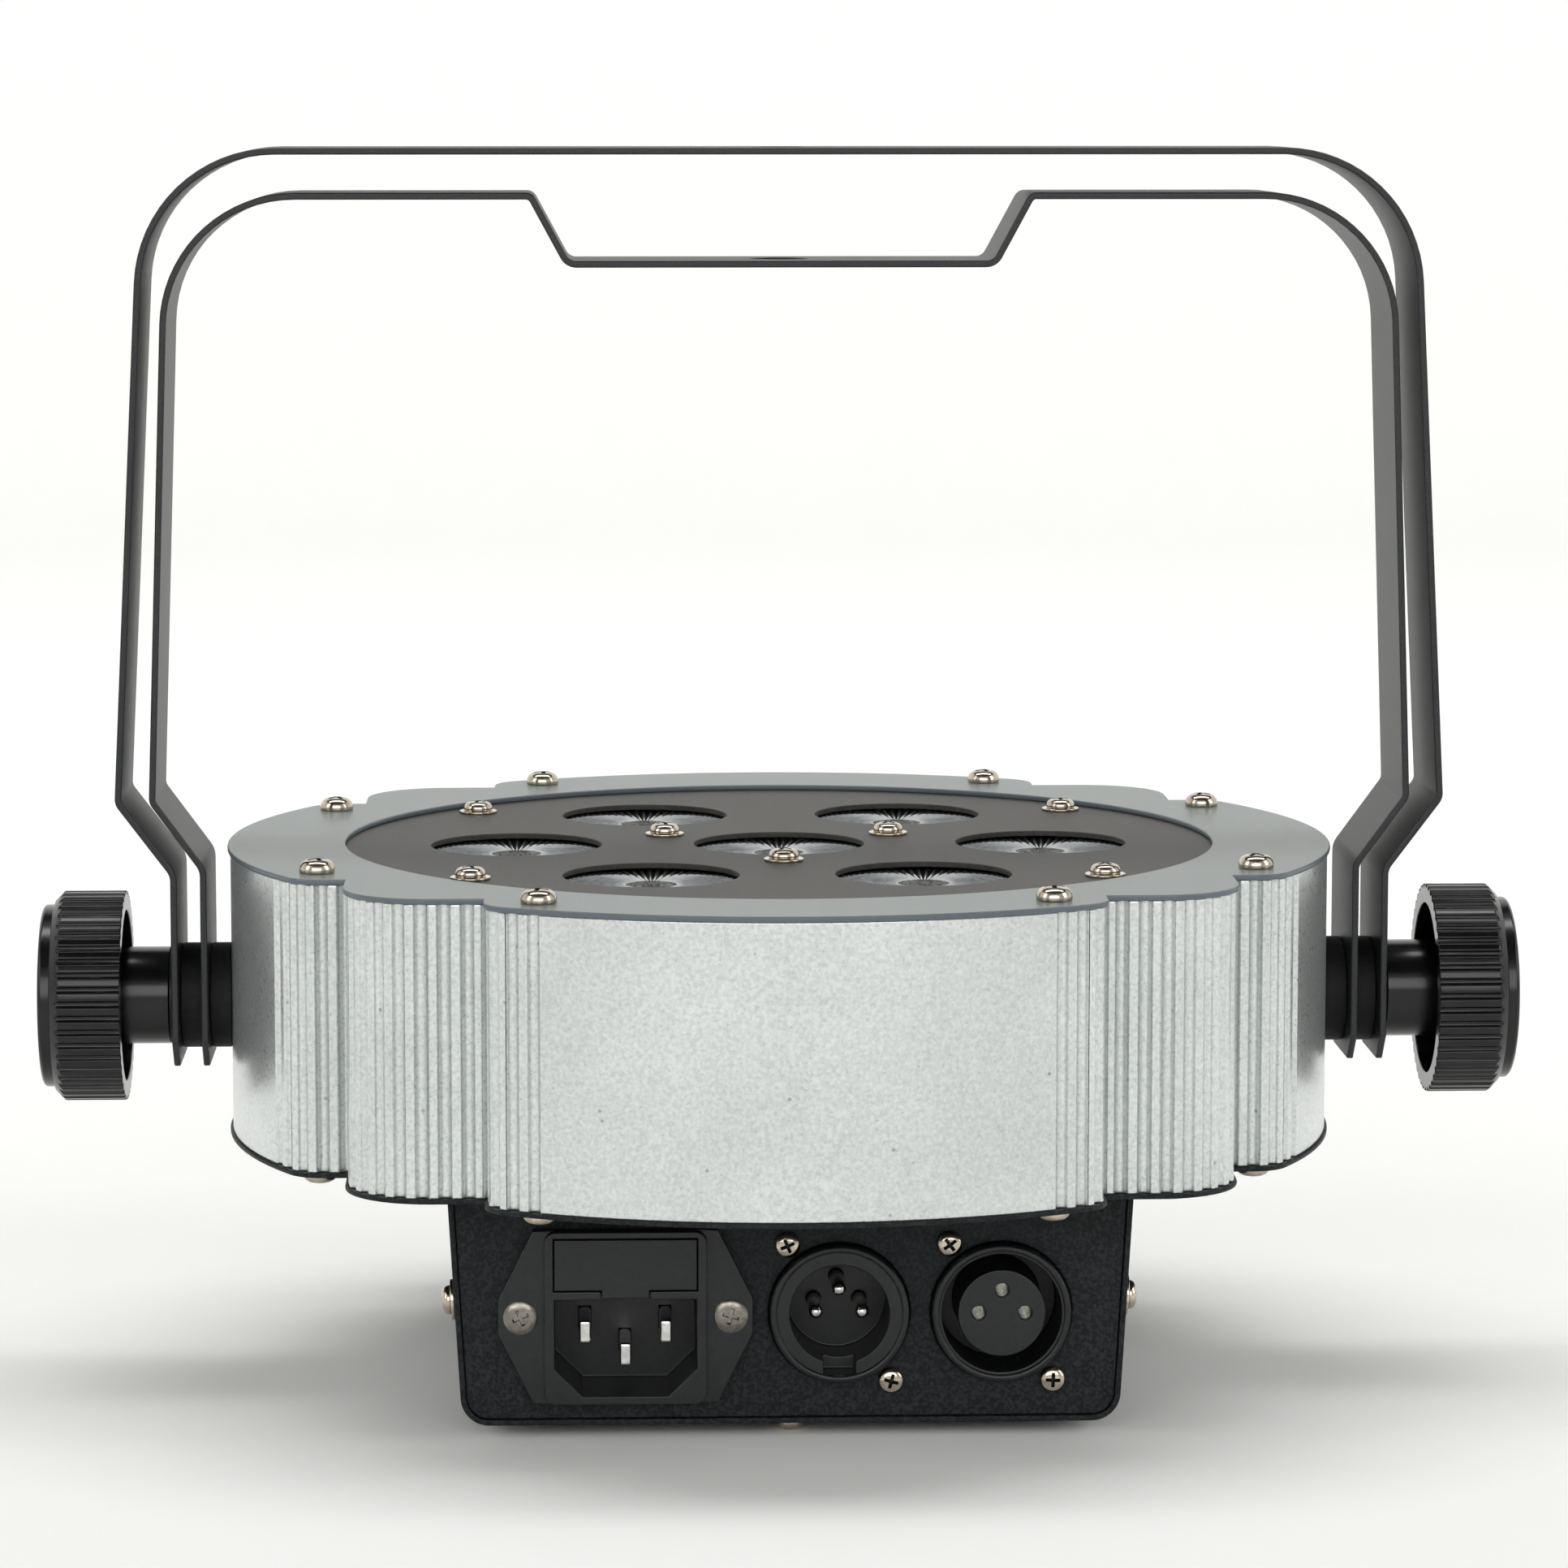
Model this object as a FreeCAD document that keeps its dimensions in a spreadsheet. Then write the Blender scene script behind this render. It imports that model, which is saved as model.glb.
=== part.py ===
import FreeCAD, Part
import math
import os
import re
from types import SimpleNamespace

import Sketcher
from FreeCAD import Rotation, Vector

# Par can light: a flat round stage light with seven lenses, a rear connector box and a double yoke.
# Frame: Z up along the beam, X along the pivot studs, the connector panel faces -Y. The origin is under
# the middle of the light, level with the lowest screw heads. Millimetres.

SIZES = {
    # housing ring, and the outline that the ring shares with the bezel and the back plate
    "ring_radius": 99.2,
    "ring_height": 50.4,
    "ring_wall": 2.5,
    "arm_half": 52,
    "arm_corner": 6.5,
    "lobe_half": 76.2,
    "lobe_corner": 14.5,
    "flute_pitch": 3.9,
    "flute_radius": 1.1,
    "flute_margin": 7.8,
    "boss_radius": 4.5,
    "plate_lip": 0.5,
    "bezel_thick": 1,
    "bezel_opening": 78.5,
    "back_plate_thick": 0.8,
    "rim_screw_inset": 6.7,
    "rim_screw_margin": 8.8,
    # screws: M3 pan heads on the rims, smaller ones on the connectors
    "screw_radius": 1.5,
    "screw_play": 0.05,
    "pan_radius": 3.1,
    "pan_height": 2.45,
    "pan_side_share": 0.45,
    "pan_shoulder_share": 0.85,
    "pan_shoulder_width": 0.8,
    "pan_crown_width": 0.4,
    "rim_screw_length": 10,
    "small_pan_radius": 2.3,
    "small_pan_height": 1.6,
    "small_screw_radius": 1.25,
    "small_screw_length": 7,
    # lens plate, lenses and light engine
    "lens_plate_radius": 84,
    "lens_plate_thick": 1,
    "lens_opening": 15.45,
    "lens_circle": 47.6,
    "lens_gap": 0.2,
    "lens_radius": 16.4,
    "lens_height": 19,
    "lens_rim": 1.6,
    "lens_foot_radius": 6.5,
    "lens_foot": 2,
    "lens_well_radius": 4.5,
    "lens_well": 6,
    "holder_wall": 1.2,
    "emitter_radius": 3.6,
    "emitter_height": 2.4,
    "outer_stay_x": 55.2,
    "outer_stay_y": 45.5,
    "inner_stay_gap": 4.1,
    "sink_stay_x": 45,
    "sink_stay_y": 36,
    "stay_radius": 3.2,
    "stay_pan_radius": 2.7,
    "stay_pan_height": 1.8,
    "stay_washer_radius": 3.55,
    "stay_washer_thick": 0.5,
    "stay_screw_length": 8,
    "led_board_radius": 80,
    "led_board_thick": 1.6,
    "sink_base": 5,
    "fin_height": 15,
    "fin_thick": 2,
    "fin_pitch": 10,
    "fin_pairs": 7,
    "feed_y": 27,
    "feed_radius": 5,
    "feed_room": 1,
    "grommet_grip": 1.5,
    "grommet_flange": 3,
    "grommet_flange_thick": 1.5,
    # rear box
    "box_height": 42.6,
    "box_top_half": 59.5,
    "box_bottom_half": 57,
    "box_corner": 5,
    "box_half_depth": 58.5,
    "sheet": 1,
    "sheet_gap": 0.1,
    "panel_recess": 0.5,
    "panel_flange": 12,
    "cover_pan_radius": 2.55,
    "cover_pan_height": 1.6,
    "cover_washer_radius": 3.6,
    "cover_washer_thick": 0.7,
    "cover_screw_length": 6,
    "cover_screw_inset": 6,
    "cover_screw_height": 21,
    "flange_screw_x": 40,
    # mains inlet
    "jack_height": 19.5,
    "inlet_x": -28.7,
    "inlet_half_width": 22,
    "inlet_tip": 3,
    "inlet_flange": 2.5,
    "inlet_frame": 1.5,
    "frame_half_width": 14,
    "frame_half_height": 15.1,
    "frame_corner": 2,
    "inlet_body_half_width": 13.3,
    "inlet_body_half_height": 14.5,
    "inlet_body_depth": 26,
    "socket_half_width": 12.3,
    "socket_low": 13.7,
    "socket_high": 3.3,
    "socket_chamfer": 4.9,
    "socket_depth": 16,
    "blade_spacing": 14,
    "blade_thick": 2,
    "blade_height": 4,
    "blade_high": 3.2,
    "blade_low": 7.2,
    "blade_recess": 4,
    "blade_tail": 5,
    "inlet_screw_spacing": 36.3,
    "drawer_half_width": 12.3,
    "drawer_low": 4.9,
    "drawer_high": 13.8,
    "drawer_front": 3,
    "drawer_depth": 18,
    "drawer_play": 0.2,
    "drawer_wall": 1.2,
    "drawer_tab_half": 4.1,
    "drawer_tab": 1.4,
    "fuse_radius": 2.6,
    "fuse_length": 20,
    # signal connectors
    "signal_in_x": 8.3,
    "signal_out_x": 36.4,
    "collar_radius": 12.1,
    "collar_height": 2,
    "collar_play": 0.2,
    "barrel_bore": 8.65,
    "barrel_depth": 14,
    "key_half_width": 2.8,
    "key_depth": 2,
    "signal_body_radius": 11,
    "signal_body_depth": 18,
    "signal_flange_half_width": 13,
    "signal_flange_half_height": 15.5,
    "signal_flange_thick": 2,
    "signal_screw_x": 9,
    "signal_screw_z": 12,
    "signal_pin_circle": 4,
    "signal_pin_radius": 1.2,
    "signal_pin_recess": 1.5,
    "signal_pin_tail": 3,
    "insert_radius": 7.6,
    "moat_radius": 10.4,
    "contact_radius": 1.7,
    "contact_bore": 1.25,
    # control panel on the far end of the box
    "window_half_width": 20,
    "window_half_height": 8,
    "window_z": 27,
    "window_lip": 2,
    "window_thick": 1.5,
    "button_z": 10,
    "button_pitch": 14,
    "button_radius": 3.5,
    "button_play": 0.15,
    "button_height": 2.5,
    "button_flange": 4.6,
    "button_flange_thick": 0.8,
    "button_travel": 1,
    "button_edge": 0.6,
    "button_gap": 0.1,
    "switch_gap": 0.4,
    "display_gap": 0.2,
    "switch_half": 3,
    "board_thick": 1.6,
    "control_board_gap": 5,
    "control_board_half_width": 46,
    "control_board_margin": 7,
    "display_half_width": 17,
    "display_half_height": 7,
    # power supply
    "supply_stay": 5,
    "supply_stay_radius": 3,
    "supply_half_width": 45,
    "supply_front": 24,
    "supply_back": 34,
    "supply_stay_inset": 5,
    "transformer_width": 26,
    "transformer_depth": 22,
    "transformer_height": 20,
    "transformer_x": -5,
    "transformer_y": -8,
    "main_capacitor_radius": 7.5,
    "main_capacitor_height": 24,
    "main_capacitor_x": -27,
    "main_capacitor_y": 2,
    "output_capacitor_radius": 5,
    "output_capacitor_height": 16,
    "output_capacitor_x": 34,
    "output_capacitor_y": -12,
    "output_capacitor_pitch": 14,
    "spreader_width": 34,
    "spreader_thick": 3,
    "spreader_height": 18,
    "spreader_x": -2,
    "spreader_y": 19,
    "terminal_depth": 8,
    "terminal_height": 9,
    "mains_terminal_width": 16,
    "mains_terminal_x": -36,
    "mains_terminal_y": -22,
    "output_terminal_width": 12,
    "output_terminal_x": -34,
    "output_terminal_y": 20,
    # wires inside the box
    "wire_radius": 0.9,
    "signal_wire_radius": 0.72,
    "mains_bend": 2,
    "wire_bend": 4,
    "wire_end_gap": 1,
    "live_rise": 5,
    "neutral_rise": 2,
    "earth_rise": 7,
    "mains_wire_back": 3.5,
    "mains_wire_gather": 0.4,
    "mains_wire_slack": 1.6,
    "pair_half_gap": 1.5,
    "pair_end_gap": 0.5,
    "pair_rise": 7,
    "pair_climb": 6,
    "signal_wire_x": 20,
    "signal_wire_pitch": 2.2,
    "signal_wire_height": 16,
    "signal_wire_start": 2.5,
    "signal_wire_run": 8,
    "signal_wire_climb": 3,
    "signal_wire_fall": 4,
    # pivots and hand knobs
    "pivot_height": 23.2,
    "stud_radius": 4,
    "stud_play": 0.05,
    "nut_flats": 13,
    "nut_thick": 6.5,
    "rubber_radius": 9.5,
    "inner_rubber": 3.65,
    "outer_rubber": 4.1,
    "face_gap": 0.05,
    "press_washer_radius": 8.8,
    "press_washer_thick": 0.8,
    "hub_length": 8.05,
    "knob_radius": 19,
    "knob_width": 12.7,
    "knob_rim": 3.5,
    "knob_web": 4.5,
    "knob_chamfer": 1.7,
    "knob_ribs": 46,
    "rib_gap_radius": 0.6,
    "cap_radius": 16.5,
    "cap_height": 2.2,
    "insert_wall": 2,
    "insert_length": 14,
    "stud_reach": 17.5,
    "stud_end_room": 1,
    # yoke
    "strap_thick": 1.2,
    "strap_width": 28,
    "strap_drop": 11.6,
    "strap_chamfer": 5,
    "knee_radius": 3,
    "outer_knee": 23.6,
    "outer_shoulder": 36.5,
    "outer_spread": 9.7,
    "outer_lean": 5.9,
    "outer_top": 152.9,
    "outer_corner": 25,
    "inner_knee": 24.5,
    "inner_shoulder": 36.7,
    "inner_spread": 8.9,
    "inner_lean": 3.8,
    "inner_top": 145,
    "inner_corner": 24,
    "dip_top_half": 44,
    "dip_bottom_half": 37.5,
    "dip_depth": 12,
    "dip_radius": 2,
    "clamp_hole": 5.25,
    # safety eye
    "eye_x": 29.5,
    "eye_y": 68,
    "eye_half_width": 10,
    "eye_foot": 14,
    "eye_thick": 2,
    "eye_drop": 20,
    "eye_hole": 5,
    "eye_screw_x": 6,
}

# heights and distances that follow from the sizes above
LEVELS = {
    "box_z": "cover_pan_height + cover_washer_thick",
    "plate_z": "box_z + box_height",
    "ring_z": "plate_z + back_plate_thick",
    "bezel_z": "ring_z + ring_height",
    "top_z": "bezel_z + bezel_thick",
    "pivot_z": "ring_z + pivot_height",
    "lens_plate_z": "bezel_z - lens_plate_thick",
    "lens_z": "lens_plate_z - lens_gap - lens_height",
    "led_board_top": "lens_z - lens_foot",
    "led_board_z": "led_board_top - led_board_thick",
    "sink_z": "led_board_z - sink_base",
    "inner_stay_circle": "lens_radius + inner_stay_gap + stay_radius",
    "rim_screw_side": "arm_half - rim_screw_margin",
    "rim_screw_reach": "sqrt((ring_radius - rim_screw_inset)^2 - rim_screw_side^2)",
    "panel_y": "box_half_depth - panel_recess",
    "panel_back_y": "panel_y - sheet",
    "jack_z": "box_z + jack_height",
    "inlet_front_y": "panel_y + inlet_flange + inlet_frame",
    "cover_side_x": "box_bottom_half + (box_top_half - box_bottom_half) * cover_screw_height / box_height",
    "cover_screw_y": "panel_y - cover_screw_inset",
    "supply_z": "box_z + sheet + supply_stay",
    "supply_top": "supply_z + board_thick",
    "control_board_y": "panel_back_y - control_board_gap",
    "inner_leg_x": "ring_radius + inner_rubber + strap_thick",
    "outer_leg_x": "inner_leg_x + outer_rubber + strap_thick",
    "press_washer_x": "outer_leg_x + face_gap",
    "hub_x": "press_washer_x + press_washer_thick + face_gap",
    "nut_x": "sqrt((ring_radius - ring_wall)^2 - nut_flats^2 / 3) - nut_thick",
    "stud_x": "nut_x - stud_end_room",
}

UP = Rotation()
DOWN = Rotation(Vector(1, 0, 0), 180)
ALONG_X = Rotation(Vector(0, 1, 0), 90)
AGAINST_X = Rotation(Vector(0, 1, 0), -90)
ALONG_Y = Rotation(Vector(1, 0, 0), -90)
AGAINST_Y = Rotation(Vector(1, 0, 0), 90)
SIDES = {"left": -1, "right": 1}

doc = FreeCAD.newDocument("par_can_light")
NODES = []


# ---------- sizes ----------


def fill_sheet():
    sheet = doc.addObject("Spreadsheet::Sheet", "sizes")
    for row, (name, number) in enumerate(SIZES.items(), 1):
        sheet.set(f"A{row}", name)
        sheet.set(f"B{row}", str(number))
        sheet.setAlias(f"B{row}", name)
    doc.recompute()
    levels = doc.addObject("App::VarSet", "levels")
    for name, formula in LEVELS.items():
        levels.addProperty("App::PropertyFloat", name, "Levels")
        levels.setExpression(name, full(formula))
    doc.recompute()
    numbers = {name: float(getattr(sheet, name)) for name in SIZES}
    numbers.update({name: float(getattr(levels, name)) for name in LEVELS})
    return SimpleNamespace(**numbers)


def full(formula):
    """The formula with the name of the sheet or the level set in front of each size."""

    def owner(found):
        word = found.group()
        if word in SIZES:
            return "sizes." + word
        if word in LEVELS:
            return "levels." + word
        return word

    return re.sub(r"[a-z][a-z_]*", owner, str(formula))


# ---------- plain solids, booleans and groups ----------


def place(thing, at, turn=UP):
    thing.Placement.Rotation = turn
    for axis, formula in zip("xyz", at):
        thing.setExpression(f"Placement.Base.{axis}", full(formula))
    return thing


def cylinder(name, radius, height, at=(0, 0, 0), turn=UP):
    thing = doc.addObject("Part::Cylinder", name)
    thing.setExpression("Radius", full(radius))
    thing.setExpression("Height", full(height))
    return place(thing, at, turn)


def block(name, size, at):
    """A box from its lowest corner."""
    thing = doc.addObject("Part::Box", name)
    for prop, formula in zip(("Length", "Width", "Height"), size):
        thing.setExpression(prop, full(formula))
    return place(thing, at)


def middle_block(name, half_x, half_z, y_size, x, y, z):
    """A box centred on x and z that reaches from y towards +Y."""
    size = (f"2 * ({half_x})", y_size, f"2 * ({half_z})")
    return block(name, size, (f"{x} - ({half_x})", y, f"{z} - ({half_z})"))


def joined(name, *pieces):
    thing = doc.addObject("Part::MultiFuse", name)
    thing.Shapes = list(pieces)
    return thing


def group(name, *pieces):
    thing = doc.addObject("Part::Compound", name)
    thing.Links = list(pieces)
    return thing


def cut(name, base, *tools):
    thing = doc.addObject("Part::Cut", name)
    thing.Base = base
    thing.Tool = tools[0] if len(tools) == 1 else joined(name + "_tools", *tools)
    return thing


def raised(name, section, height, z):
    """A flat section pulled up from height z."""
    section.Visibility = False
    thing = doc.addObject("Part::Extrusion", name)
    thing.Base = section
    thing.DirMode = "Custom"
    thing.Dir = Vector(0, 0, 1)
    thing.Solid = True
    thing.setExpression("LengthFwd", full(height))
    return place(thing, (0, 0, z))


def shaped(name, shape, turn=UP, base=Vector()):
    thing = doc.addObject("Part::Feature", name)
    thing.Shape = shape
    thing.Placement = FreeCAD.Placement(base, turn)
    return thing


def node(thing, label):
    thing.Label = label
    NODES.append(thing)
    return thing


def origin_plane(body, role):
    return next(part for part in body.Origin.OriginFeatures if part.Role == role)


def closed_sketch(body, role, points):
    """A closed outline of straight lines whose corners are bound to formulas."""
    sketch = body.newObject("Sketcher::SketchObject", body.Name + "_sketch")
    sketch.AttachmentSupport = (origin_plane(body, role), [""])
    sketch.MapMode = "FlatFace"
    count = len(points)
    start = [Vector(9 * math.cos(6.28 * i / count), 9 * math.sin(6.28 * i / count), 0) for i in range(count)]
    for i in range(count):
        sketch.addGeometry(Part.LineSegment(start[i], start[(i + 1) % count]))
    for i in range(count):
        sketch.addConstraint(Sketcher.Constraint("Coincident", i, 2, (i + 1) % count, 1))
    for i, corner in enumerate(points):
        for kind, formula in zip(("DistanceX", "DistanceY"), corner):
            index = sketch.addConstraint(Sketcher.Constraint(kind, -1, 1, i, 1, 1.0))
            sketch.setExpression(f"Constraints[{index}]", full(formula))
    return sketch


def turned(name, points, at=(0, 0, 0), turn=UP):
    """A body of revolution about its own Z, from corners given as (radius, height)."""
    body = doc.addObject("PartDesign::Body", name)
    sketch = closed_sketch(body, "XZ_Plane", points)
    spin = body.newObject("PartDesign::Revolution", name + "_turn")
    spin.Profile = sketch
    spin.ReferenceAxis = (sketch, ["V_Axis"])
    spin.Angle = 360
    return place(body, at, turn)


def padded(name, points, length, at=(0, 0, 0), turn=UP):
    """A prism from corners on the body's own XY plane, pulled up its own Z."""
    body = doc.addObject("PartDesign::Body", name)
    sketch = closed_sketch(body, "XY_Plane", points)
    pad = body.newObject("PartDesign::Pad", name + "_pad")
    pad.Profile = sketch
    pad.setExpression("Length", full(length))
    return place(body, at, turn)


def link_to(master, name):
    link = doc.addObject("App::Link", name)
    link.LinkedObject = master
    return link


def linked(name, master, spots):
    """A group of links to the master, one at each spot (x, y, z, turn)."""
    links = [link_to(master, f"{name}_{number}") for number in range(1, len(spots) + 1)]
    for link, (x, y, z, turn) in zip(links, spots):
        place(link, (x, y, z), turn)
    return group(name + "_set", *links)


def copies(name, master, spots):
    """One node of equal separate solids."""
    return node(linked(name, master, spots), name)


def drilled(name, base, master, spots):
    """The base with the master drill taken out of it at each spot."""
    return cut(name, base, linked(name + "_holes", master, spots))


def pan_screw(name, head_radius, head_height, shank_radius, length):
    """A pan head screw: the head's underside at height 0, the shank below it."""
    return turned(
        name,
        [
            (0, f"-({length})"),
            (shank_radius, f"-({length})"),
            (shank_radius, 0),
            (head_radius, 0),
            (head_radius, f"{head_height} * pan_side_share"),
            (f"{head_radius} * pan_shoulder_width", f"{head_height} * pan_shoulder_share"),
            (f"{head_radius} * pan_crown_width", head_height),
            (0, head_height),
        ],
    )


def flat_washer(name, radius, thick):
    return turned(name, [(BORE, 0), (radius, 0), (radius, thick), (BORE, thick)])


BORE = "screw_radius + screw_play"


# ---------- outlines and paths that sketches of straight lines can't hold ----------


def rim_outline(lip):
    """The housing's outline, lip further out than the ring: four round-ended arms, a rounded lobe between."""
    radius = v.ring_radius + lip
    half = v.arm_half + lip
    lobe = v.lobe_half + lip
    corner = v.arm_corner + lip
    lobe_corner = v.lobe_corner + lip
    centre = Vector(math.sqrt((radius - corner) ** 2 - (half - corner) ** 2), half - corner, 0)
    tip = centre * (radius / (radius - corner))
    lean = (math.atan2(centre.y, centre.x) + math.pi / 2) / 2
    knuckle = centre + Vector(math.cos(lean), math.sin(lean), 0) * corner
    flat = Vector(centre.x, half, 0)
    inset = lobe - lobe_corner
    bulge = Vector(1, 1, 0) * (inset + lobe_corner / math.sqrt(2))

    def swapped(point):
        return Vector(point.y, point.x, 0)

    start = Vector(tip.x, -tip.y, 0)
    notch = Vector(lobe, half, 0)
    rise = Vector(lobe, inset, 0)
    quarter = [
        Part.Arc(start, Vector(radius, 0, 0), tip),
        Part.Arc(tip, knuckle, flat),
        Part.LineSegment(flat, notch),
        Part.LineSegment(notch, rise),
        Part.Arc(rise, bulge, swapped(rise)),
        Part.LineSegment(swapped(rise), swapped(notch)),
        Part.LineSegment(swapped(notch), swapped(flat)),
        Part.Arc(swapped(flat), swapped(knuckle), swapped(tip)),
    ]
    edges = []
    for step in range(4):
        for curve in quarter:
            edge = curve.toShape()
            edge.rotate(Vector(), Vector(0, 0, 1), 90 * step)
            edges.append(edge)
    return edges


def rim_face(lip):
    return Part.Face(Part.Wire(rim_outline(lip)))


def flute_centres():
    """Points spaced along one lobe's outline, from the fluted end of one arm to that of the next."""
    first = math.asin((v.arm_half - v.flute_margin) / v.ring_radius)
    edges = rim_outline(0)[1:8]
    tip = edges[0].Vertexes[0].Point

    def on_rim(angle):
        return Vector(math.cos(angle), math.sin(angle), 0) * v.ring_radius

    tip_angle = math.atan2(tip.y, tip.x)
    before = Part.Arc(on_rim(first), on_rim((first + tip_angle) / 2), on_rim(tip_angle)).toShape()
    after = before.mirror(Vector(), Vector(1, -1, 0))
    path = Part.Wire(Part.__sortEdges__([before, *edges, after]))
    return path.discretize(Number=round(path.Length / v.flute_pitch) + 1)


def disc(radius, centre):
    return Part.Face(Part.Wire(Part.makeCircle(radius, centre)))


def ring_section():
    """The extruded wall, fluted on the four lobes."""
    wall = rim_face(0).cut(rim_face(-v.ring_wall))
    flutes = []
    for step in range(4):
        for centre in flute_centres():
            turned_centre = Rotation(Vector(0, 0, 1), 90 * step).multVec(centre)
            flutes.append(disc(v.flute_radius, turned_centre))
    return wall.cut(flutes)


def bent_path(corners):
    """Wire of straight runs and tangent arcs through (point, bend radius) pairs."""
    points = [Vector(*point) for point, _ in corners]
    edges = []
    here = points[0]
    for i in range(1, len(points) - 1):
        toward = (points[i] - points[i - 1]).normalize()
        onward = (points[i + 1] - points[i]).normalize()
        turn = toward.getAngle(onward)
        bend = corners[i][1]
        back = bend * math.tan(turn / 2)
        start = points[i] - toward * back
        finish = points[i] + onward * back
        inward = (onward - toward).normalize()
        middle = points[i] + inward * (math.sqrt(bend**2 + back**2) - bend)
        edges.append(Part.LineSegment(here, start).toShape())
        edges.append(Part.Arc(start, middle, finish).toShape())
        here = finish
    edges.append(Part.LineSegment(here, points[-1]).toShape())
    return Part.Wire(edges)


def strip_face(corners, thick):
    """The section of a bent strip, thick measured inwards, from the sharp corners of its outer side.

    The corners lie in the XZ plane and run so that the inside is on the right-hand side. Both ends are level.
    """
    points = [Vector(x, 0, z) for x, z, _ in corners]
    inside = []
    for i, point in enumerate(points):
        before = (point - points[i - 1]).normalize() if i else None
        after = (points[i + 1] - point).normalize() if i + 1 < len(points) else None
        runs = [run for run in (before, after) if run]
        normals = [Vector(run.z, 0, -run.x) for run in runs]
        if len(normals) == 1:
            level = runs[0] * (-normals[0].z * thick / runs[0].z)
            inside.append(point + normals[0] * thick + level)
        else:
            both = normals[0] + normals[1]
            inside.append(point + both * (thick / both.dot(normals[0])))
    outer_corners = []
    inner_corners = []
    for i, (x, z, bend) in enumerate(corners):
        inner_bend = bend
        if 0 < i < len(corners) - 1:
            run = points[i] - points[i - 1]
            following = points[i + 1] - points[i]
            right_turn = run.x * following.z - run.z * following.x < 0
            inner_bend = bend - thick if right_turn else bend + thick
        outer_corners.append(((x, 0, z), bend))
        inner_corners.append(((inside[i].x, 0, inside[i].z), inner_bend))
    outer = bent_path(outer_corners)
    inner = bent_path(inner_corners)
    ends = [
        Part.LineSegment(points[0], inside[0]).toShape(),
        Part.LineSegment(points[-1], inside[-1]).toShape(),
    ]
    edges = Part.__sortEdges__(outer.Edges + inner.Edges + ends)
    return Part.Face(Part.Wire(edges))


def pulled(face, near_y, far_y):
    """A section in the XZ plane made solid between two distances along Y."""
    face.translate(Vector(0, near_y, 0))
    return face.extrude(Vector(0, far_y - near_y, 0))


def tube(corners, radius):
    """A wire of one radius along straight runs and tangent arcs."""
    start = Vector(*corners[0][0])
    section = Part.Wire(Part.makeCircle(radius, start, Vector(*corners[1][0]) - start))
    return bent_path(corners).makePipeShell([section], True, False)


v = fill_sheet()


# ---------- screws and drills, made once and linked wherever they are used ----------

rim_screw = pan_screw("rim_screw", "pan_radius", "pan_height", "screw_radius", "rim_screw_length")
stay_screw = pan_screw(
    "stay_screw", "stay_pan_radius", "stay_pan_height", "screw_radius", "stay_screw_length"
)
cover_screw = pan_screw(
    "cover_screw", "cover_pan_radius", "cover_pan_height", "screw_radius", "cover_screw_length"
)
small_screw = pan_screw(
    "small_screw", "small_pan_radius", "small_pan_height", "small_screw_radius", "small_screw_length"
)
stay_washer = flat_washer("stay_washer", "stay_washer_radius", "stay_washer_thick")
cover_washer = flat_washer("cover_washer", "cover_washer_radius", "cover_washer_thick")
DRILL_DEPTH = 16
drill = turned("drill", [(0, f"-{DRILL_DEPTH}"), (BORE, f"-{DRILL_DEPTH}"), (BORE, 3), (0, 3)])
SMALL_BORE = "small_screw_radius + screw_play"
small_drill = turned("small_drill", [(0, "-10"), (SMALL_BORE, "-10"), (SMALL_BORE, 3), (0, 3)])


def rim_spots(z, turn):
    """Two screws near the end of each arm of the outline."""
    spots = []
    for end in (-1, 1):
        for side in (-1, 1):
            spots.append((f"{end} * rim_screw_reach", f"{side} * rim_screw_side", z, turn))
            spots.append((f"{side} * rim_screw_side", f"{end} * rim_screw_reach", z, turn))
    return spots


def stay_spots(z, turn=UP):
    """The four outer and three inner places where the lens plate is held."""
    outer = [(f"{i} * outer_stay_x", f"{k} * outer_stay_y", z, turn) for i in (-1, 1) for k in (-1, 1)]
    inner = [
        (f"inner_stay_circle * cos({angle})", f"inner_stay_circle * sin({angle})", z, turn)
        for angle in (30, 150, 270)
    ]
    return outer + inner


def lens_spots(z):
    spots = [(0, 0, z, UP)]
    for angle in range(0, 360, 60):
        spots.append((f"lens_circle * cos({angle})", f"lens_circle * sin({angle})", z, UP))
    return spots


# ---------- housing ring, bezel and back plate ----------

wall = raised("ring_wall_solid", shaped("ring_section", ring_section()), "ring_height", "ring_z")
bosses = [
    cylinder(f"screw_boss_{i}", "boss_radius", "ring_height", spot[:3])
    for i, spot in enumerate(rim_spots("ring_z", UP))
]
ring_with_bosses = joined("ring_with_bosses", wall, *bosses)
screw_ports = drilled("ring_top_drilled", ring_with_bosses, drill, rim_spots("bezel_z", UP))
screw_ports = drilled("ring_drilled", screw_ports, drill, rim_spots("ring_z", DOWN))
stud_holes = [
    cylinder(
        f"stud_hole_{side}",
        "stud_radius + stud_play",
        "ring_wall + 20",
        (f"{sign} * (ring_radius - ring_wall - 10)", 0, "pivot_z"),
        ALONG_X if sign > 0 else AGAINST_X,
    )
    for side, sign in SIDES.items()
]
node(cut("ring", screw_ports, *stud_holes), "housing_ring")

bezel_blank = raised("bezel_blank", shaped("bezel_section", rim_face(v.plate_lip)), "bezel_thick", "bezel_z")
bezel_hole = cylinder("bezel_hole", "bezel_opening", "bezel_thick * 3", (0, 0, "bezel_z - bezel_thick"))
bezel_open = cut("bezel_open", bezel_blank, bezel_hole)
node(drilled("bezel", bezel_open, drill, rim_spots("top_z", UP)), "front_bezel")
copies("bezel_screws", rim_screw, rim_spots("top_z", UP))

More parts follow.
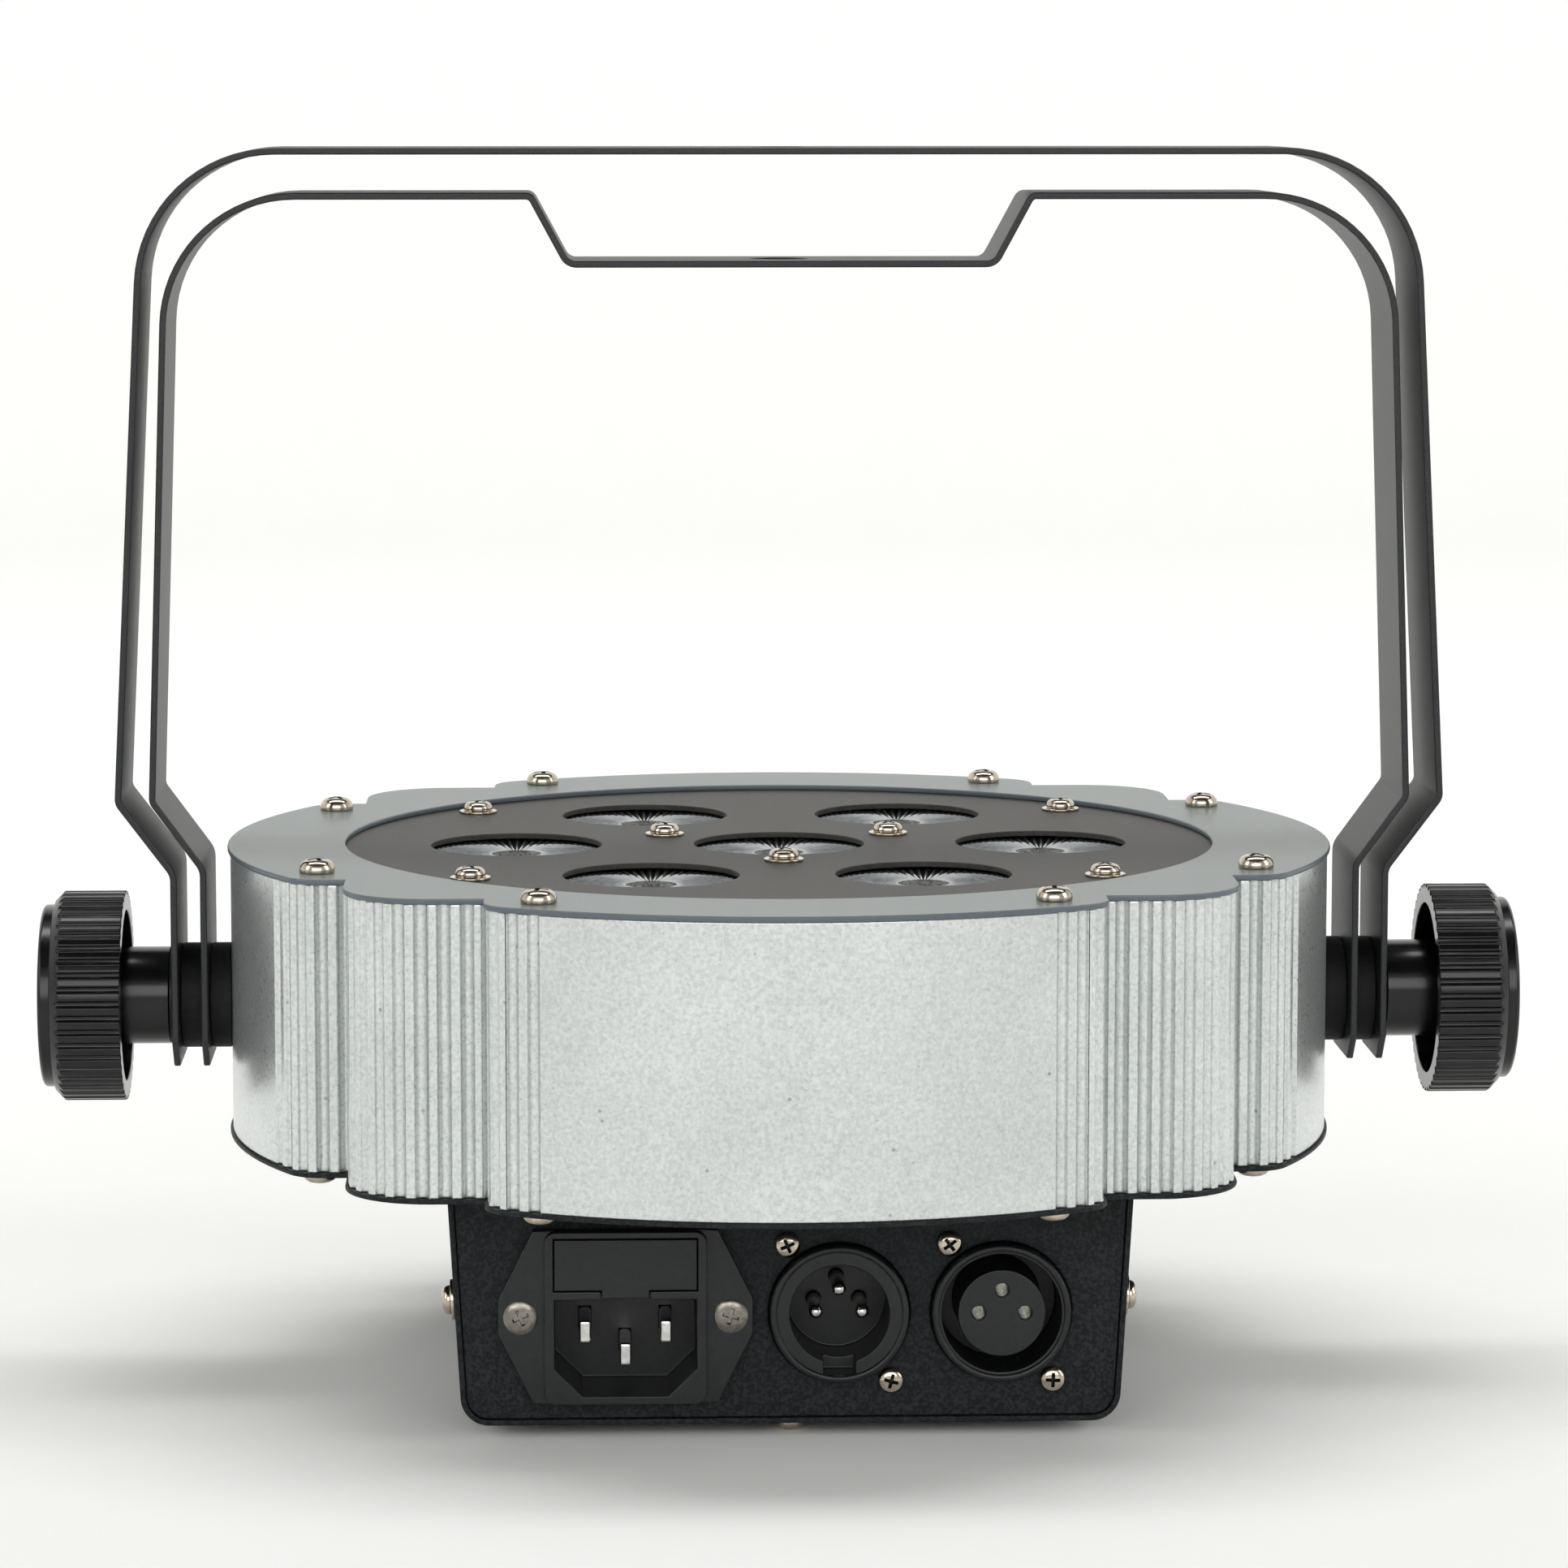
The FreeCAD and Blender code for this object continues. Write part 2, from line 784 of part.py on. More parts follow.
FLANGE_SCREWS = [
    (f"{i} * flange_screw_x", f"{k} * (panel_back_y - panel_flange / 2)", "plate_z - sheet", DOWN)
    for i in (-1, 1)
    for k in (-1, 1)
]
SINK_STAYS = [(f"{i} * sink_stay_x", f"{k} * sink_stay_y", "plate_z", DOWN) for i in (-1, 1) for k in (-1, 1)]
EYE_SCREWS = [(f"eye_x + {i} * eye_screw_x", "eye_y + eye_foot * 0.6", "plate_z - eye_thick", DOWN) for i in (-1, 1)]

plate_blank = raised(
    "back_plate_blank", shaped("back_plate_section", rim_face(v.plate_lip)), "back_plate_thick", "plate_z"
)
plate_spots = rim_spots("plate_z", DOWN) + FLANGE_SCREWS + SINK_STAYS + EYE_SCREWS
plate_drilled = drilled("back_plate_drilled", plate_blank, drill, plate_spots)
feed_hole = cylinder(
    "back_plate_feed", "feed_radius + feed_room", "back_plate_thick * 3", (0, "feed_y", "plate_z - 1")
)
node(cut("back_plate_solid", plate_drilled, feed_hole), "back_plate")
copies("back_plate_screws", rim_screw, rim_spots("plate_z", DOWN))
copies("inner_plate_screws", cover_screw, FLANGE_SCREWS + SINK_STAYS + EYE_SCREWS)

grommet = turned(
    "grommet_ring",
    [
        ("feed_radius - grommet_grip", 0),
        ("feed_radius + grommet_flange", 0),
        ("feed_radius + grommet_flange", "grommet_flange_thick"),
        ("feed_radius + feed_room", "grommet_flange_thick"),
        ("feed_radius + feed_room", "grommet_flange_thick + back_plate_thick"),
        ("feed_radius + grommet_flange", "grommet_flange_thick + back_plate_thick"),
        ("feed_radius + grommet_flange", "2 * grommet_flange_thick + back_plate_thick"),
        ("feed_radius - grommet_grip", "2 * grommet_flange_thick + back_plate_thick"),
    ],
    (0, "feed_y", "plate_z - grommet_flange_thick"),
)
node(grommet, "cable_grommet")

# ---------- lens plate, lenses and light engine ----------

lens_plate = cylinder("lens_plate_disc", "lens_plate_radius", "lens_plate_thick", (0, 0, "lens_plate_z"))
openings = [
    cylinder(
        f"lens_opening_{i}", "lens_opening", "lens_plate_thick * 3", (x, y, "lens_plate_z - lens_plate_thick")
    )
    for i, (x, y, _, _) in enumerate(lens_spots(0))
]
lens_plate = cut("lens_plate_open", lens_plate, *openings)
node(drilled("lens_plate_solid", lens_plate, drill, stay_spots("bezel_z")), "lens_plate")
copies("lens_plate_washers", stay_washer, stay_spots("bezel_z"))
copies("lens_plate_screws", stay_screw, stay_spots("bezel_z + stay_washer_thick"))

stay = turned(
    "lens_plate_stay",
    [
        (BORE, 0),
        ("stay_radius", 0),
        ("stay_radius", "lens_plate_z - led_board_top"),
        (BORE, "lens_plate_z - led_board_top"),
    ],
)
copies("lens_plate_standoffs", stay, stay_spots("led_board_top"))

LENS_PROFILE = [
    (0, "lens_well"),
    ("lens_well_radius", "lens_well"),
    ("lens_well_radius", 0),
    ("lens_foot_radius", 0),
    ("lens_radius - lens_rim", "lens_height - lens_rim"),
    ("lens_radius", "lens_height - lens_rim"),
    ("lens_radius", "lens_height"),
    (0, "lens_height"),
]
for number, (x, y, z, _) in enumerate(lens_spots("lens_z")):
    label = "lens_centre" if number == 0 else f"lens_outer_{number}"
    node(turned(label + "_body", LENS_PROFILE, (x, y, z)), label)

holder = turned(
    "lens_holder",
    [
        ("lens_foot_radius + 1", 0),
        ("lens_foot_radius + 3", 0),
        ("lens_radius", "lens_height - 3"),
        ("lens_radius", "lens_height + lens_foot - lens_rim"),
        ("lens_radius - holder_wall", "lens_height + lens_foot - lens_rim"),
    ],
)
copies("lens_holders", holder, lens_spots("led_board_top"))
emitter = turned(
    "led_emitter",
    [
        (0, 0),
        ("emitter_radius", 0),
        ("emitter_radius", "emitter_height * 0.4"),
        ("emitter_radius * 0.7", "emitter_height * 0.8"),
        (0, "emitter_height"),
    ],
)
emitters = [
    place(link_to(emitter, f"led_emitter_{i}"), spot[:3])
    for i, spot in enumerate(lens_spots("led_board_top"))
]

board = cylinder("led_board_disc", "led_board_radius", "led_board_thick", (0, 0, "led_board_z"))
board_feed = cylinder(
    "led_board_feed", "feed_radius", "led_board_thick * 3", (0, "feed_y", "led_board_z - led_board_thick")
)
node(group("led_board_set", cut("led_board_solid", board, board_feed), *emitters), "led_board")

sink_disc = cylinder("sink_disc", "led_board_radius", "sink_base", (0, 0, "sink_z"))
fin_span = cylinder("fin_span", "led_board_radius", "fin_height", (0, 0, "sink_z - fin_height"))
FIN_PAIRS = int(v.fin_pairs)
fins = [
    block(
        f"fin_{i + FIN_PAIRS}",
        ("fin_thick", "2 * led_board_radius", "fin_height"),
        (f"{i} * fin_pitch - fin_thick / 2", "-led_board_radius", "sink_z - fin_height"),
    )
    for i in range(-FIN_PAIRS, FIN_PAIRS + 1)
]
fin_set = doc.addObject("Part::Common", "fin_set")
fin_set.Base = group("fin_blanks", *fins)
fin_set.Tool = fin_span
sink_feed = cylinder(
    "sink_feed", "feed_radius", "sink_base + fin_height + 2", (0, "feed_y", "sink_z - fin_height - 1")
)
node(cut("sink_solid", joined("sink_whole", sink_disc, fin_set), sink_feed), "heat_sink")
sink_stay = turned(
    "sink_stay",
    [(BORE, 0), ("stay_radius", 0), ("stay_radius", "sink_z - ring_z"), (BORE, "sink_z - ring_z")],
)
copies("heat_sink_standoffs", sink_stay, [(x, y, "ring_z", UP) for x, y, _, _ in SINK_STAYS])

# ---------- rear box: cover and end panels ----------


def box_corners(inset):
    """Corners of the rear box's section inside its outer side, from one top edge round to the other."""
    slope = (v.box_top_half - v.box_bottom_half) / v.box_height
    low = v.box_z + inset
    shift = inset * math.sqrt(1 + slope**2)
    top_x = v.box_top_half - shift
    low_x = v.box_bottom_half + inset * slope - shift
    bend = v.box_corner - inset
    right = [(top_x, v.plate_z, 0), (low_x, low, bend)]
    return right + [(-x, z, bend) for x, z, bend in reversed(right)]


SIDE_TILT = math.degrees(math.atan((v.box_top_half - v.box_bottom_half) / v.box_height))
SIDE_TURNS = {-1: Rotation(Vector(0, 1, 0), -90 - SIDE_TILT), 1: Rotation(Vector(0, 1, 0), 90 + SIDE_TILT)}
COVER_SCREWS = []
for end in (-1, 1):
    y = f"{end} * cover_screw_y"
    for side, turn in SIDE_TURNS.items():
        COVER_SCREWS.append((f"{side} * cover_side_x", y, "box_z + cover_screw_height", turn))
    COVER_SCREWS.append((0, y, "box_z", DOWN))

cover_blank = shaped(
    "cover_blank", pulled(strip_face(box_corners(0), v.sheet), -v.box_half_depth, v.box_half_depth)
)
node(drilled("cover_solid", cover_blank, drill, COVER_SCREWS), "rear_cover")
copies("cover_washers", cover_washer, COVER_SCREWS)
raised_head = turned(
    "raised_cover_screw",
    [
        (0, "cover_washer_thick - cover_screw_length"),
        ("screw_radius", "cover_washer_thick - cover_screw_length"),
        ("screw_radius", "cover_washer_thick"),
        ("cover_pan_radius", "cover_washer_thick"),
        ("cover_pan_radius", "cover_washer_thick + cover_pan_height * pan_side_share"),
        (
            "cover_pan_radius * pan_shoulder_width",
            "cover_washer_thick + cover_pan_height * pan_shoulder_share",
        ),
        ("cover_pan_radius * pan_crown_width", "cover_washer_thick + cover_pan_height"),
        (0, "cover_washer_thick + cover_pan_height"),
    ],
)
copies("cover_screws", raised_head, COVER_SCREWS)


def end_panel(end):
    """A folded end panel: the face, a flange inside the cover all round and one under the back plate."""
    inset = v.sheet + v.sheet_gap
    edge = bent_path([((x, 0, z), bend) for x, z, bend in box_corners(inset)])
    top = Part.LineSegment(edge.OrderedVertexes[-1].Point, edge.OrderedVertexes[0].Point).toShape()
    face = Part.Face(Part.Wire([*edge.OrderedEdges, top]))
    outside, inside = end * v.panel_y, end * v.panel_back_y
    flange_end = end * (v.panel_back_y - v.panel_flange)
    plate = pulled(face, outside, inside)
    flange = pulled(strip_face(box_corners(inset), v.sheet), inside, flange_end)
    half = box_corners(inset + v.sheet)[0][0]
    near = min(inside, flange_end)
    shelf = Part.makeBox(2 * half, v.panel_flange, v.sheet, Vector(-half, near, v.plate_z - v.sheet))
    return plate.fuse([flange, shelf]).removeSplitter()


front_blank = shaped("connector_panel_blank", end_panel(-1))
front_drilled = drilled("connector_panel_drilled", front_blank, drill, COVER_SCREWS + FLANGE_SCREWS)
INLET_SCREWS = [
    (f"inlet_x + {side} * inlet_screw_spacing / 2", "-(panel_y + inlet_flange)", "jack_z", AGAINST_Y)
    for side in (-1, 1)
]
SIGNAL_SCREWS = [
    (f"{x} + {side} * signal_screw_x", "-panel_y", f"jack_z - {side} * signal_screw_z", AGAINST_Y)
    for x in ("signal_in_x", "signal_out_x")
    for side in (-1, 1)
]
front_pierced = drilled("connector_panel_pierced", front_drilled, small_drill, INLET_SCREWS + SIGNAL_SCREWS)
inlet_hole = middle_block(
    "inlet_hole",
    "inlet_body_half_width + sheet_gap",
    "inlet_body_half_height + sheet_gap",
    "sheet * 3",
    "inlet_x",
    "-panel_y - sheet",
    "jack_z",
)
signal_holes = [
    cylinder(
        f"{x}_hole", "collar_radius + collar_play", "sheet * 3", (x, "-panel_y - sheet", "jack_z"), ALONG_Y
    )
    for x in ("signal_in_x", "signal_out_x")
]
node(cut("connector_panel_solid", front_pierced, inlet_hole, *signal_holes), "connector_panel")

BUTTON_SPOTS = [(f"{step} * button_pitch", "box_z + button_z") for step in (-1.5, -0.5, 0.5, 1.5)]
rear_blank = shaped("control_panel_blank", end_panel(1))
rear_drilled = drilled("control_panel_drilled", rear_blank, drill, COVER_SCREWS + FLANGE_SCREWS)
window_hole = middle_block(
    "window_hole",
    "window_half_width - window_lip",
    "window_half_height - window_lip",
    "sheet * 3",
    "0",
    "panel_back_y - sheet",
    "(box_z + window_z)",
)
button_holes = [
    cylinder(
        f"button_hole_{i}",
        "button_radius + button_play",
        "sheet * 3",
        (x, "panel_back_y - sheet", z),
        ALONG_Y,
    )
    for i, (x, z) in enumerate(BUTTON_SPOTS)
]
node(cut("control_panel_solid", rear_drilled, window_hole, *button_holes), "control_panel")

# ---------- mains inlet with its fuse drawer ----------


def inlet_flange_points():
    tip, half, high = "inlet_tip", "inlet_half_width", "frame_half_height"
    slant = "(frame_half_width + 2)"
    return [
        (f"-{half}", f"-{tip}"),
        (f"-{slant}", f"-{high}"),
        (slant, f"-{high}"),
        (half, f"-{tip}"),
        (half, tip),
        (slant, high),
        (f"-{slant}", high),
        (f"-{half}", tip),
    ]


inlet_flange = padded(
    "inlet_flange_plate", inlet_flange_points(), "inlet_flange", ("inlet_x", "-panel_y", "jack_z"), AGAINST_Y
)
inlet_frame = middle_block(
    "inlet_frame_block",
    "frame_half_width",
    "frame_half_height",
    "inlet_frame + inlet_flange",
    "inlet_x",
    "-inlet_front_y",
    "jack_z",
)
frame_rounds = doc.addObject("Part::Fillet", "inlet_frame_rounded")
inlet_body = middle_block(
    "inlet_body_block",
    "inlet_body_half_width",
    "inlet_body_half_height",
    "inlet_body_depth",
    "inlet_x",
    "-panel_y",
    "jack_z",
)
doc.recompute()
frame_rounds.Base = inlet_frame
frame_rounds.Edges = [
    (number, v.frame_corner, v.frame_corner)
    for number, edge in enumerate(inlet_frame.Shape.Edges, 1)
    if abs(edge.tangentAt(edge.FirstParameter).y) > 0.9
]
socket_points = [
    ("-socket_half_width", "socket_high"),
    ("-socket_half_width", "socket_chamfer - socket_low"),
    ("socket_chamfer - socket_half_width", "-socket_low"),
    ("socket_half_width - socket_chamfer", "-socket_low"),
    ("socket_half_width", "socket_chamfer - socket_low"),
    ("socket_half_width", "socket_high"),
]
socket_void = padded(
    "inlet_socket_void",
    socket_points,
    "socket_depth + 1",
    ("inlet_x", "socket_depth - inlet_front_y", "jack_z"),
    AGAINST_Y,
)
drawer_void = block(
    "inlet_drawer_void",
    (
        "2 * (drawer_half_width + drawer_play)",
        "drawer_depth + 2",
        "drawer_high - drawer_low + 2 * drawer_play",
    ),
    (
        "inlet_x - drawer_half_width - drawer_play",
        "-inlet_front_y - 1",
        "jack_z + drawer_low - drawer_play",
    ),
)
tab_void = block(
    "inlet_tab_void",
    (
        "2 * (drawer_tab_half + drawer_play)",
        "drawer_front + 1 + drawer_play",
        "drawer_low - socket_high + 0.5",
    ),
    ("inlet_x - drawer_tab_half - drawer_play", "-inlet_front_y - 1", "jack_z + socket_high - 0.3"),
)
BLADES = {
    "live": ("inlet_x - blade_spacing / 2", "jack_z - blade_high"),
    "neutral": ("inlet_x + blade_spacing / 2", "jack_z - blade_high"),
    "earth": ("inlet_x", "jack_z - blade_low"),
}


def blade(name):
    x, z = BLADES[name]
    length = "inlet_front_y - panel_y - blade_recess + inlet_body_depth + blade_tail"
    return middle_block(
        f"blade_{name}", "blade_thick / 2", "blade_height / 2", length, x, "blade_recess - inlet_front_y", z
    )


inlet_solid = joined("inlet_whole", inlet_flange, frame_rounds, inlet_body)
inlet_hollow = cut(
    "inlet_hollow", inlet_solid, socket_void, drawer_void, tab_void, *[blade(name) for name in BLADES]
)
node(drilled("inlet_solid", inlet_hollow, small_drill, INLET_SCREWS), "mains_inlet")
node(group("inlet_blades", *[blade(name) for name in BLADES]), "inlet_pins")
copies("inlet_screws", small_screw, INLET_SCREWS)

DRAWER_LOW = "jack_z + drawer_low"
drawer_face = block(
    "drawer_face",
    ("2 * drawer_half_width", "drawer_front", "drawer_high - drawer_low"),
    ("inlet_x - drawer_half_width", "-inlet_front_y", DRAWER_LOW),
)
drawer_tray = block(
    "drawer_tray",
    ("2 * drawer_half_width", "drawer_depth - drawer_front", "drawer_high - drawer_low - drawer_wall"),
    ("inlet_x - drawer_half_width", "drawer_front - inlet_front_y", DRAWER_LOW),
)
drawer_tab = block(
    "drawer_tab_block",
    ("2 * drawer_tab_half", "drawer_front", "drawer_tab + 0.01"),
    ("inlet_x - drawer_tab_half", "-inlet_front_y", f"{DRAWER_LOW} - drawer_tab"),
)
tray_hollow = block(
    "drawer_tray_hollow",
    (
        "2 * (drawer_half_width - drawer_wall)",
        "drawer_depth - drawer_front - 2 * drawer_wall",
        "drawer_high - drawer_low",
    ),
    (
        "inlet_x - drawer_half_width + drawer_wall",
        "drawer_front + drawer_wall - inlet_front_y",
        f"{DRAWER_LOW} + drawer_wall",
    ),
)
node(
    cut("drawer_solid", joined("drawer_whole", drawer_face, drawer_tray, drawer_tab), tray_hollow),
    "fuse_drawer",
)
node(
    cylinder(
        "fuse_tube",
        "fuse_radius",
        "fuse_length",
        (
            "inlet_x - fuse_length / 2",
            "drawer_front + 2 * drawer_wall + fuse_radius - inlet_front_y",
            f"{DRAWER_LOW} + drawer_wall + fuse_radius",
        ),
        ALONG_X,
    ),
    "fuse",
)

# ---------- signal connectors ----------

SIGNAL_PINS = {"left": (-1, 0), "right": (1, 0), "top": (0, 1)}


def signal_blank(name, x):
    """The collar in front of the panel, the mounting flange behind it and the barrel behind that."""
    collar = cylinder(
        f"{name}_collar",
        "collar_radius",
        "collar_height + sheet",
        (x, "-panel_y - collar_height", "jack_z"),
        ALONG_Y,
    )
    flange = middle_block(
        f"{name}_flange",
        "signal_flange_half_width",
        "signal_flange_half_height",
        "signal_flange_thick",
        x,
        "-panel_back_y",
        "jack_z",
    )
    barrel = cylinder(
        f"{name}_barrel", "signal_body_radius", "signal_body_depth", (x, "-panel_back_y", "jack_z"), ALONG_Y
    )
    whole = joined(f"{name}_whole", collar, flange, barrel)
    return drilled(f"{name}_blank", whole, small_drill, SIGNAL_SCREWS)


def signal_rod(name, x, offset, radius, front, length):
    side, up = offset
    at = (f"{x} + {side} * signal_pin_circle", front, f"jack_z + {up} * signal_pin_circle")
    return cylinder(name, radius, length, at, ALONG_Y)


FRONT = "-panel_y - collar_height"
TAIL_Y = "signal_body_depth + signal_pin_tail - panel_back_y"
bore = cylinder(
    "signal_in_bore", "barrel_bore", "barrel_depth + 1", ("signal_in_x", f"{FRONT} - 1", "jack_z"), ALONG_Y
)
keyway = block(
    "signal_in_keyway",
    ("2 * key_half_width", "barrel_depth * 0.4 + 1", "key_depth + 2"),
    ("signal_in_x - key_half_width", f"{FRONT} - 1", "jack_z - barrel_bore - key_depth"),
)


def signal_in_pin(purpose, place_name):
    return signal_rod(
        f"{purpose}_{place_name}",
        "signal_in_x",
        SIGNAL_PINS[place_name],
        "signal_pin_radius",
        f"{FRONT} + signal_pin_recess",
        f"{TAIL_Y} - ({FRONT}) - signal_pin_recess",
    )


pin_holes = [signal_in_pin("signal_in_pin_hole", name) for name in SIGNAL_PINS]
signal_in_blank = signal_blank("signal_in", "signal_in_x")
node(cut("signal_in_solid", signal_in_blank, bore, keyway, *pin_holes), "signal_input")
signal_in_pins = [signal_in_pin("signal_in_pin", name) for name in SIGNAL_PINS]
node(group("signal_in_pin_set", *signal_in_pins), "signal_input_pins")

moat = turned(
    "signal_out_moat",
    [
        ("insert_radius", 0),
        ("moat_radius", 0),
        ("moat_radius", "barrel_depth + 1"),
        ("insert_radius", "barrel_depth + 1"),
    ],
    ("signal_out_x", f"{FRONT} - 1", "jack_z"),
    ALONG_Y,
)


def contact(purpose, place_name, radius):
    return signal_rod(
        f"{purpose}_{place_name}",
        "signal_out_x",
        SIGNAL_PINS[place_name],
        radius,
        f"{FRONT} + signal_pin_recess",
        f"{TAIL_Y} - ({FRONT}) - signal_pin_recess",
    )


contact_holes = [contact("signal_out_hole", name, "contact_radius") for name in SIGNAL_PINS]
contact_mouths = [
    signal_rod(f"signal_out_mouth_{name}", "signal_out_x", offset, "contact_bore", f"{FRONT} - 1", 4)
    for name, offset in SIGNAL_PINS.items()
]
node(
    cut(
        "signal_out_solid",
        signal_blank("signal_out", "signal_out_x"),
        moat,
        *contact_holes,
        *contact_mouths,
    ),
    "signal_output",
)
contact_tubes = [
    cut(
        f"contact_tube_{name}",
        contact("contact", name, "contact_radius"),
        signal_rod(
            f"contact_bore_{name}", "signal_out_x", offset, "contact_bore", f"{FRONT} - 1", "barrel_depth"
        ),
    )
    for name, offset in SIGNAL_PINS.items()
]
node(group("contact_set", *contact_tubes), "signal_output_contacts")
copies("signal_screws", small_screw, SIGNAL_SCREWS)

# ---------- control panel parts ----------

window_frame = middle_block(
    "window_block",
    "window_half_width - window_lip - sheet_gap",
    "window_half_height - window_lip - sheet_gap",
    "sheet + sheet_gap",
    "0",
    "panel_back_y",
    "(box_z + window_z)",
)
window_back = middle_block(
    "window_back",
    "window_half_width",
    "window_half_height",
    "window_thick",
    "0",
    "panel_back_y - window_thick",
    "(box_z + window_z)",
)
node(joined("window", window_frame, window_back), "display_window")

control_board = middle_block(
    "control_board_plate",
    "control_board_half_width",
    "box_height / 2 - control_board_margin",
    "board_thick",
    "0",
    "control_board_y - board_thick",
    "(box_z + box_height / 2)",
)
display = middle_block(
    "display_module",
    "display_half_width",
    "display_half_height",
    "control_board_gap - window_thick - display_gap",
    "0",
    "control_board_y",
    "(box_z + window_z)",
)
switches = [
    middle_block(
        f"key_switch_{i}",
        "switch_half",
        "switch_half",
        "control_board_gap - button_flange_thick - button_travel - switch_gap",
        x,
        "control_board_y",
        f"({z})",
    )
    for i, (x, z) in enumerate(BUTTON_SPOTS)
]
node(group("control_board_set", control_board, display, *switches), "control_board")

BUTTON_PROFILE = [
    (0, 0),
    ("button_flange", 0),
    ("button_flange", "button_flange_thick"),
    ("button_radius", "button_flange_thick"),
    ("button_radius", "button_flange_thick + button_gap + sheet + button_height - button_edge"),
    ("button_radius - button_edge", "button_flange_thick + button_gap + sheet + button_height"),
    (0, "button_flange_thick + button_gap + sheet + button_height"),
]
for number, (x, z) in enumerate(BUTTON_SPOTS, 1):
    at = (x, "panel_back_y - button_gap - button_flange_thick", z)
    node(turned(f"button_{number}_body", BUTTON_PROFILE, at, ALONG_Y), f"menu_button_{number}")

# ---------- power supply and wiring ----------

supply_board = block(
    "supply_board",
    ("2 * supply_half_width", "supply_front + supply_back", "board_thick"),
    ("-supply_half_width", "-supply_front", "supply_z"),
)
SUPPLY_STAYS = [
    (f"{i} * (supply_half_width - supply_stay_inset)", y, "box_z + sheet", UP)
    for i in (-1, 1)
    for y in ("supply_stay_inset - supply_front", "supply_back - supply_stay_inset")
]
stays = [
    cylinder(f"supply_stay_{i}", "supply_stay_radius", "supply_stay", spot[:3])
    for i, spot in enumerate(SUPPLY_STAYS)
]
node(group("supply_board_set", supply_board), "power_supply_board")
node(group("supply_stays", *stays), "power_supply_standoffs")
COMPONENTS = [
    block(part, (f"{part}_width", depth, height), (f"{part}_x", f"{part}_y", "supply_top"))
    for part, depth, height in (
        ("transformer", "transformer_depth", "transformer_height"),
        ("spreader", "spreader_thick", "spreader_height"),
        ("mains_terminal", "terminal_depth", "terminal_height"),
        ("output_terminal", "terminal_depth", "terminal_height"),
    )
]
COMPONENTS += [
    cylinder(name, f"{part}_radius", f"{part}_height", (f"{part}_x", y, "supply_top"))
    for name, part, y in (
        ("main_capacitor", "main_capacitor", "main_capacitor_y"),
        ("output_capacitor", "output_capacitor", "output_capacitor_y"),
        ("second_output_capacitor", "output_capacitor", "output_capacitor_y + output_capacitor_pitch"),
    )
]
node(group("supply_components", *COMPONENTS), "power_supply_parts")

MAINS_RISES = {"live": v.live_rise, "neutral": v.neutral_rise, "earth": v.earth_rise}
BLADE_SIDES = {"live": -0.5, "neutral": 0.5, "earth": 0}
terminal_top = v.supply_top + v.terminal_height
mains_x = v.mains_terminal_x + v.mains_terminal_width / 2
mains_y = v.mains_terminal_y + v.terminal_depth / 2
wires = []
for name, rise in MAINS_RISES.items():
    x = v.inlet_x + BLADE_SIDES[name] * v.blade_spacing
    z = v.jack_z - (v.blade_low if name == "earth" else v.blade_high)
    start_y = v.inlet_body_depth + v.blade_tail - v.panel_y
    back_y = start_y + v.mains_wire_back
    landing_x = x + (mains_x - x) * v.mains_wire_gather
    wires.append(
        tube(
            [
                ((x, start_y, z), 0),
                ((x, back_y, z), v.mains_bend),
                ((x, back_y, terminal_top + rise), v.mains_bend),
                ((landing_x + v.mains_wire_slack, mains_y, terminal_top + rise), v.mains_bend),
                ((landing_x, mains_y, terminal_top + v.wire_end_gap), 0),
            ],
            v.wire_radius,
        )
    )
node(shaped("mains_wire_set", Part.makeCompound(wires)), "mains_wires")

low_voltage_wires = []
pair_x = v.output_terminal_x + v.output_terminal_width / 2
pair_y = v.output_terminal_y + v.terminal_depth / 2
pair_z = terminal_top + v.pair_rise
for side in (-1, 1):
    aside = v.pair_half_gap * side
    low_voltage_wires.append(
        tube(
            [
                ((pair_x, pair_y + aside, terminal_top + v.pair_end_gap), 0),
                ((pair_x, pair_y + aside, pair_z), v.wire_bend),
                ((0, v.feed_y + aside, pair_z + v.pair_climb), v.wire_bend),
                ((0, v.feed_y + aside, v.led_board_top + v.wire_end_gap), 0),
            ],
            v.wire_radius,
        )
    )
socket_y = v.signal_body_depth - v.panel_back_y
board_y = v.control_board_y - v.board_thick
signal_wire_z = v.jack_z + v.signal_wire_height
for number in range(3):
    x = v.signal_wire_x + v.signal_wire_pitch * number
    low_voltage_wires.append(
        tube(
            [
                ((x, socket_y + v.signal_wire_start, signal_wire_z - v.signal_wire_climb), 0),
                ((x, socket_y + v.signal_wire_run, signal_wire_z), v.wire_bend),
                ((x, board_y - v.signal_wire_run, signal_wire_z), v.wire_bend),
                ((x, board_y - v.wire_end_gap, signal_wire_z - v.signal_wire_fall), 0),
            ],
            v.signal_wire_radius,
        )
    )
node(shaped("low_voltage_wire_set", Part.makeCompound(low_voltage_wires)), "low_voltage_wires")

# ---------- pivots and hand knobs ----------

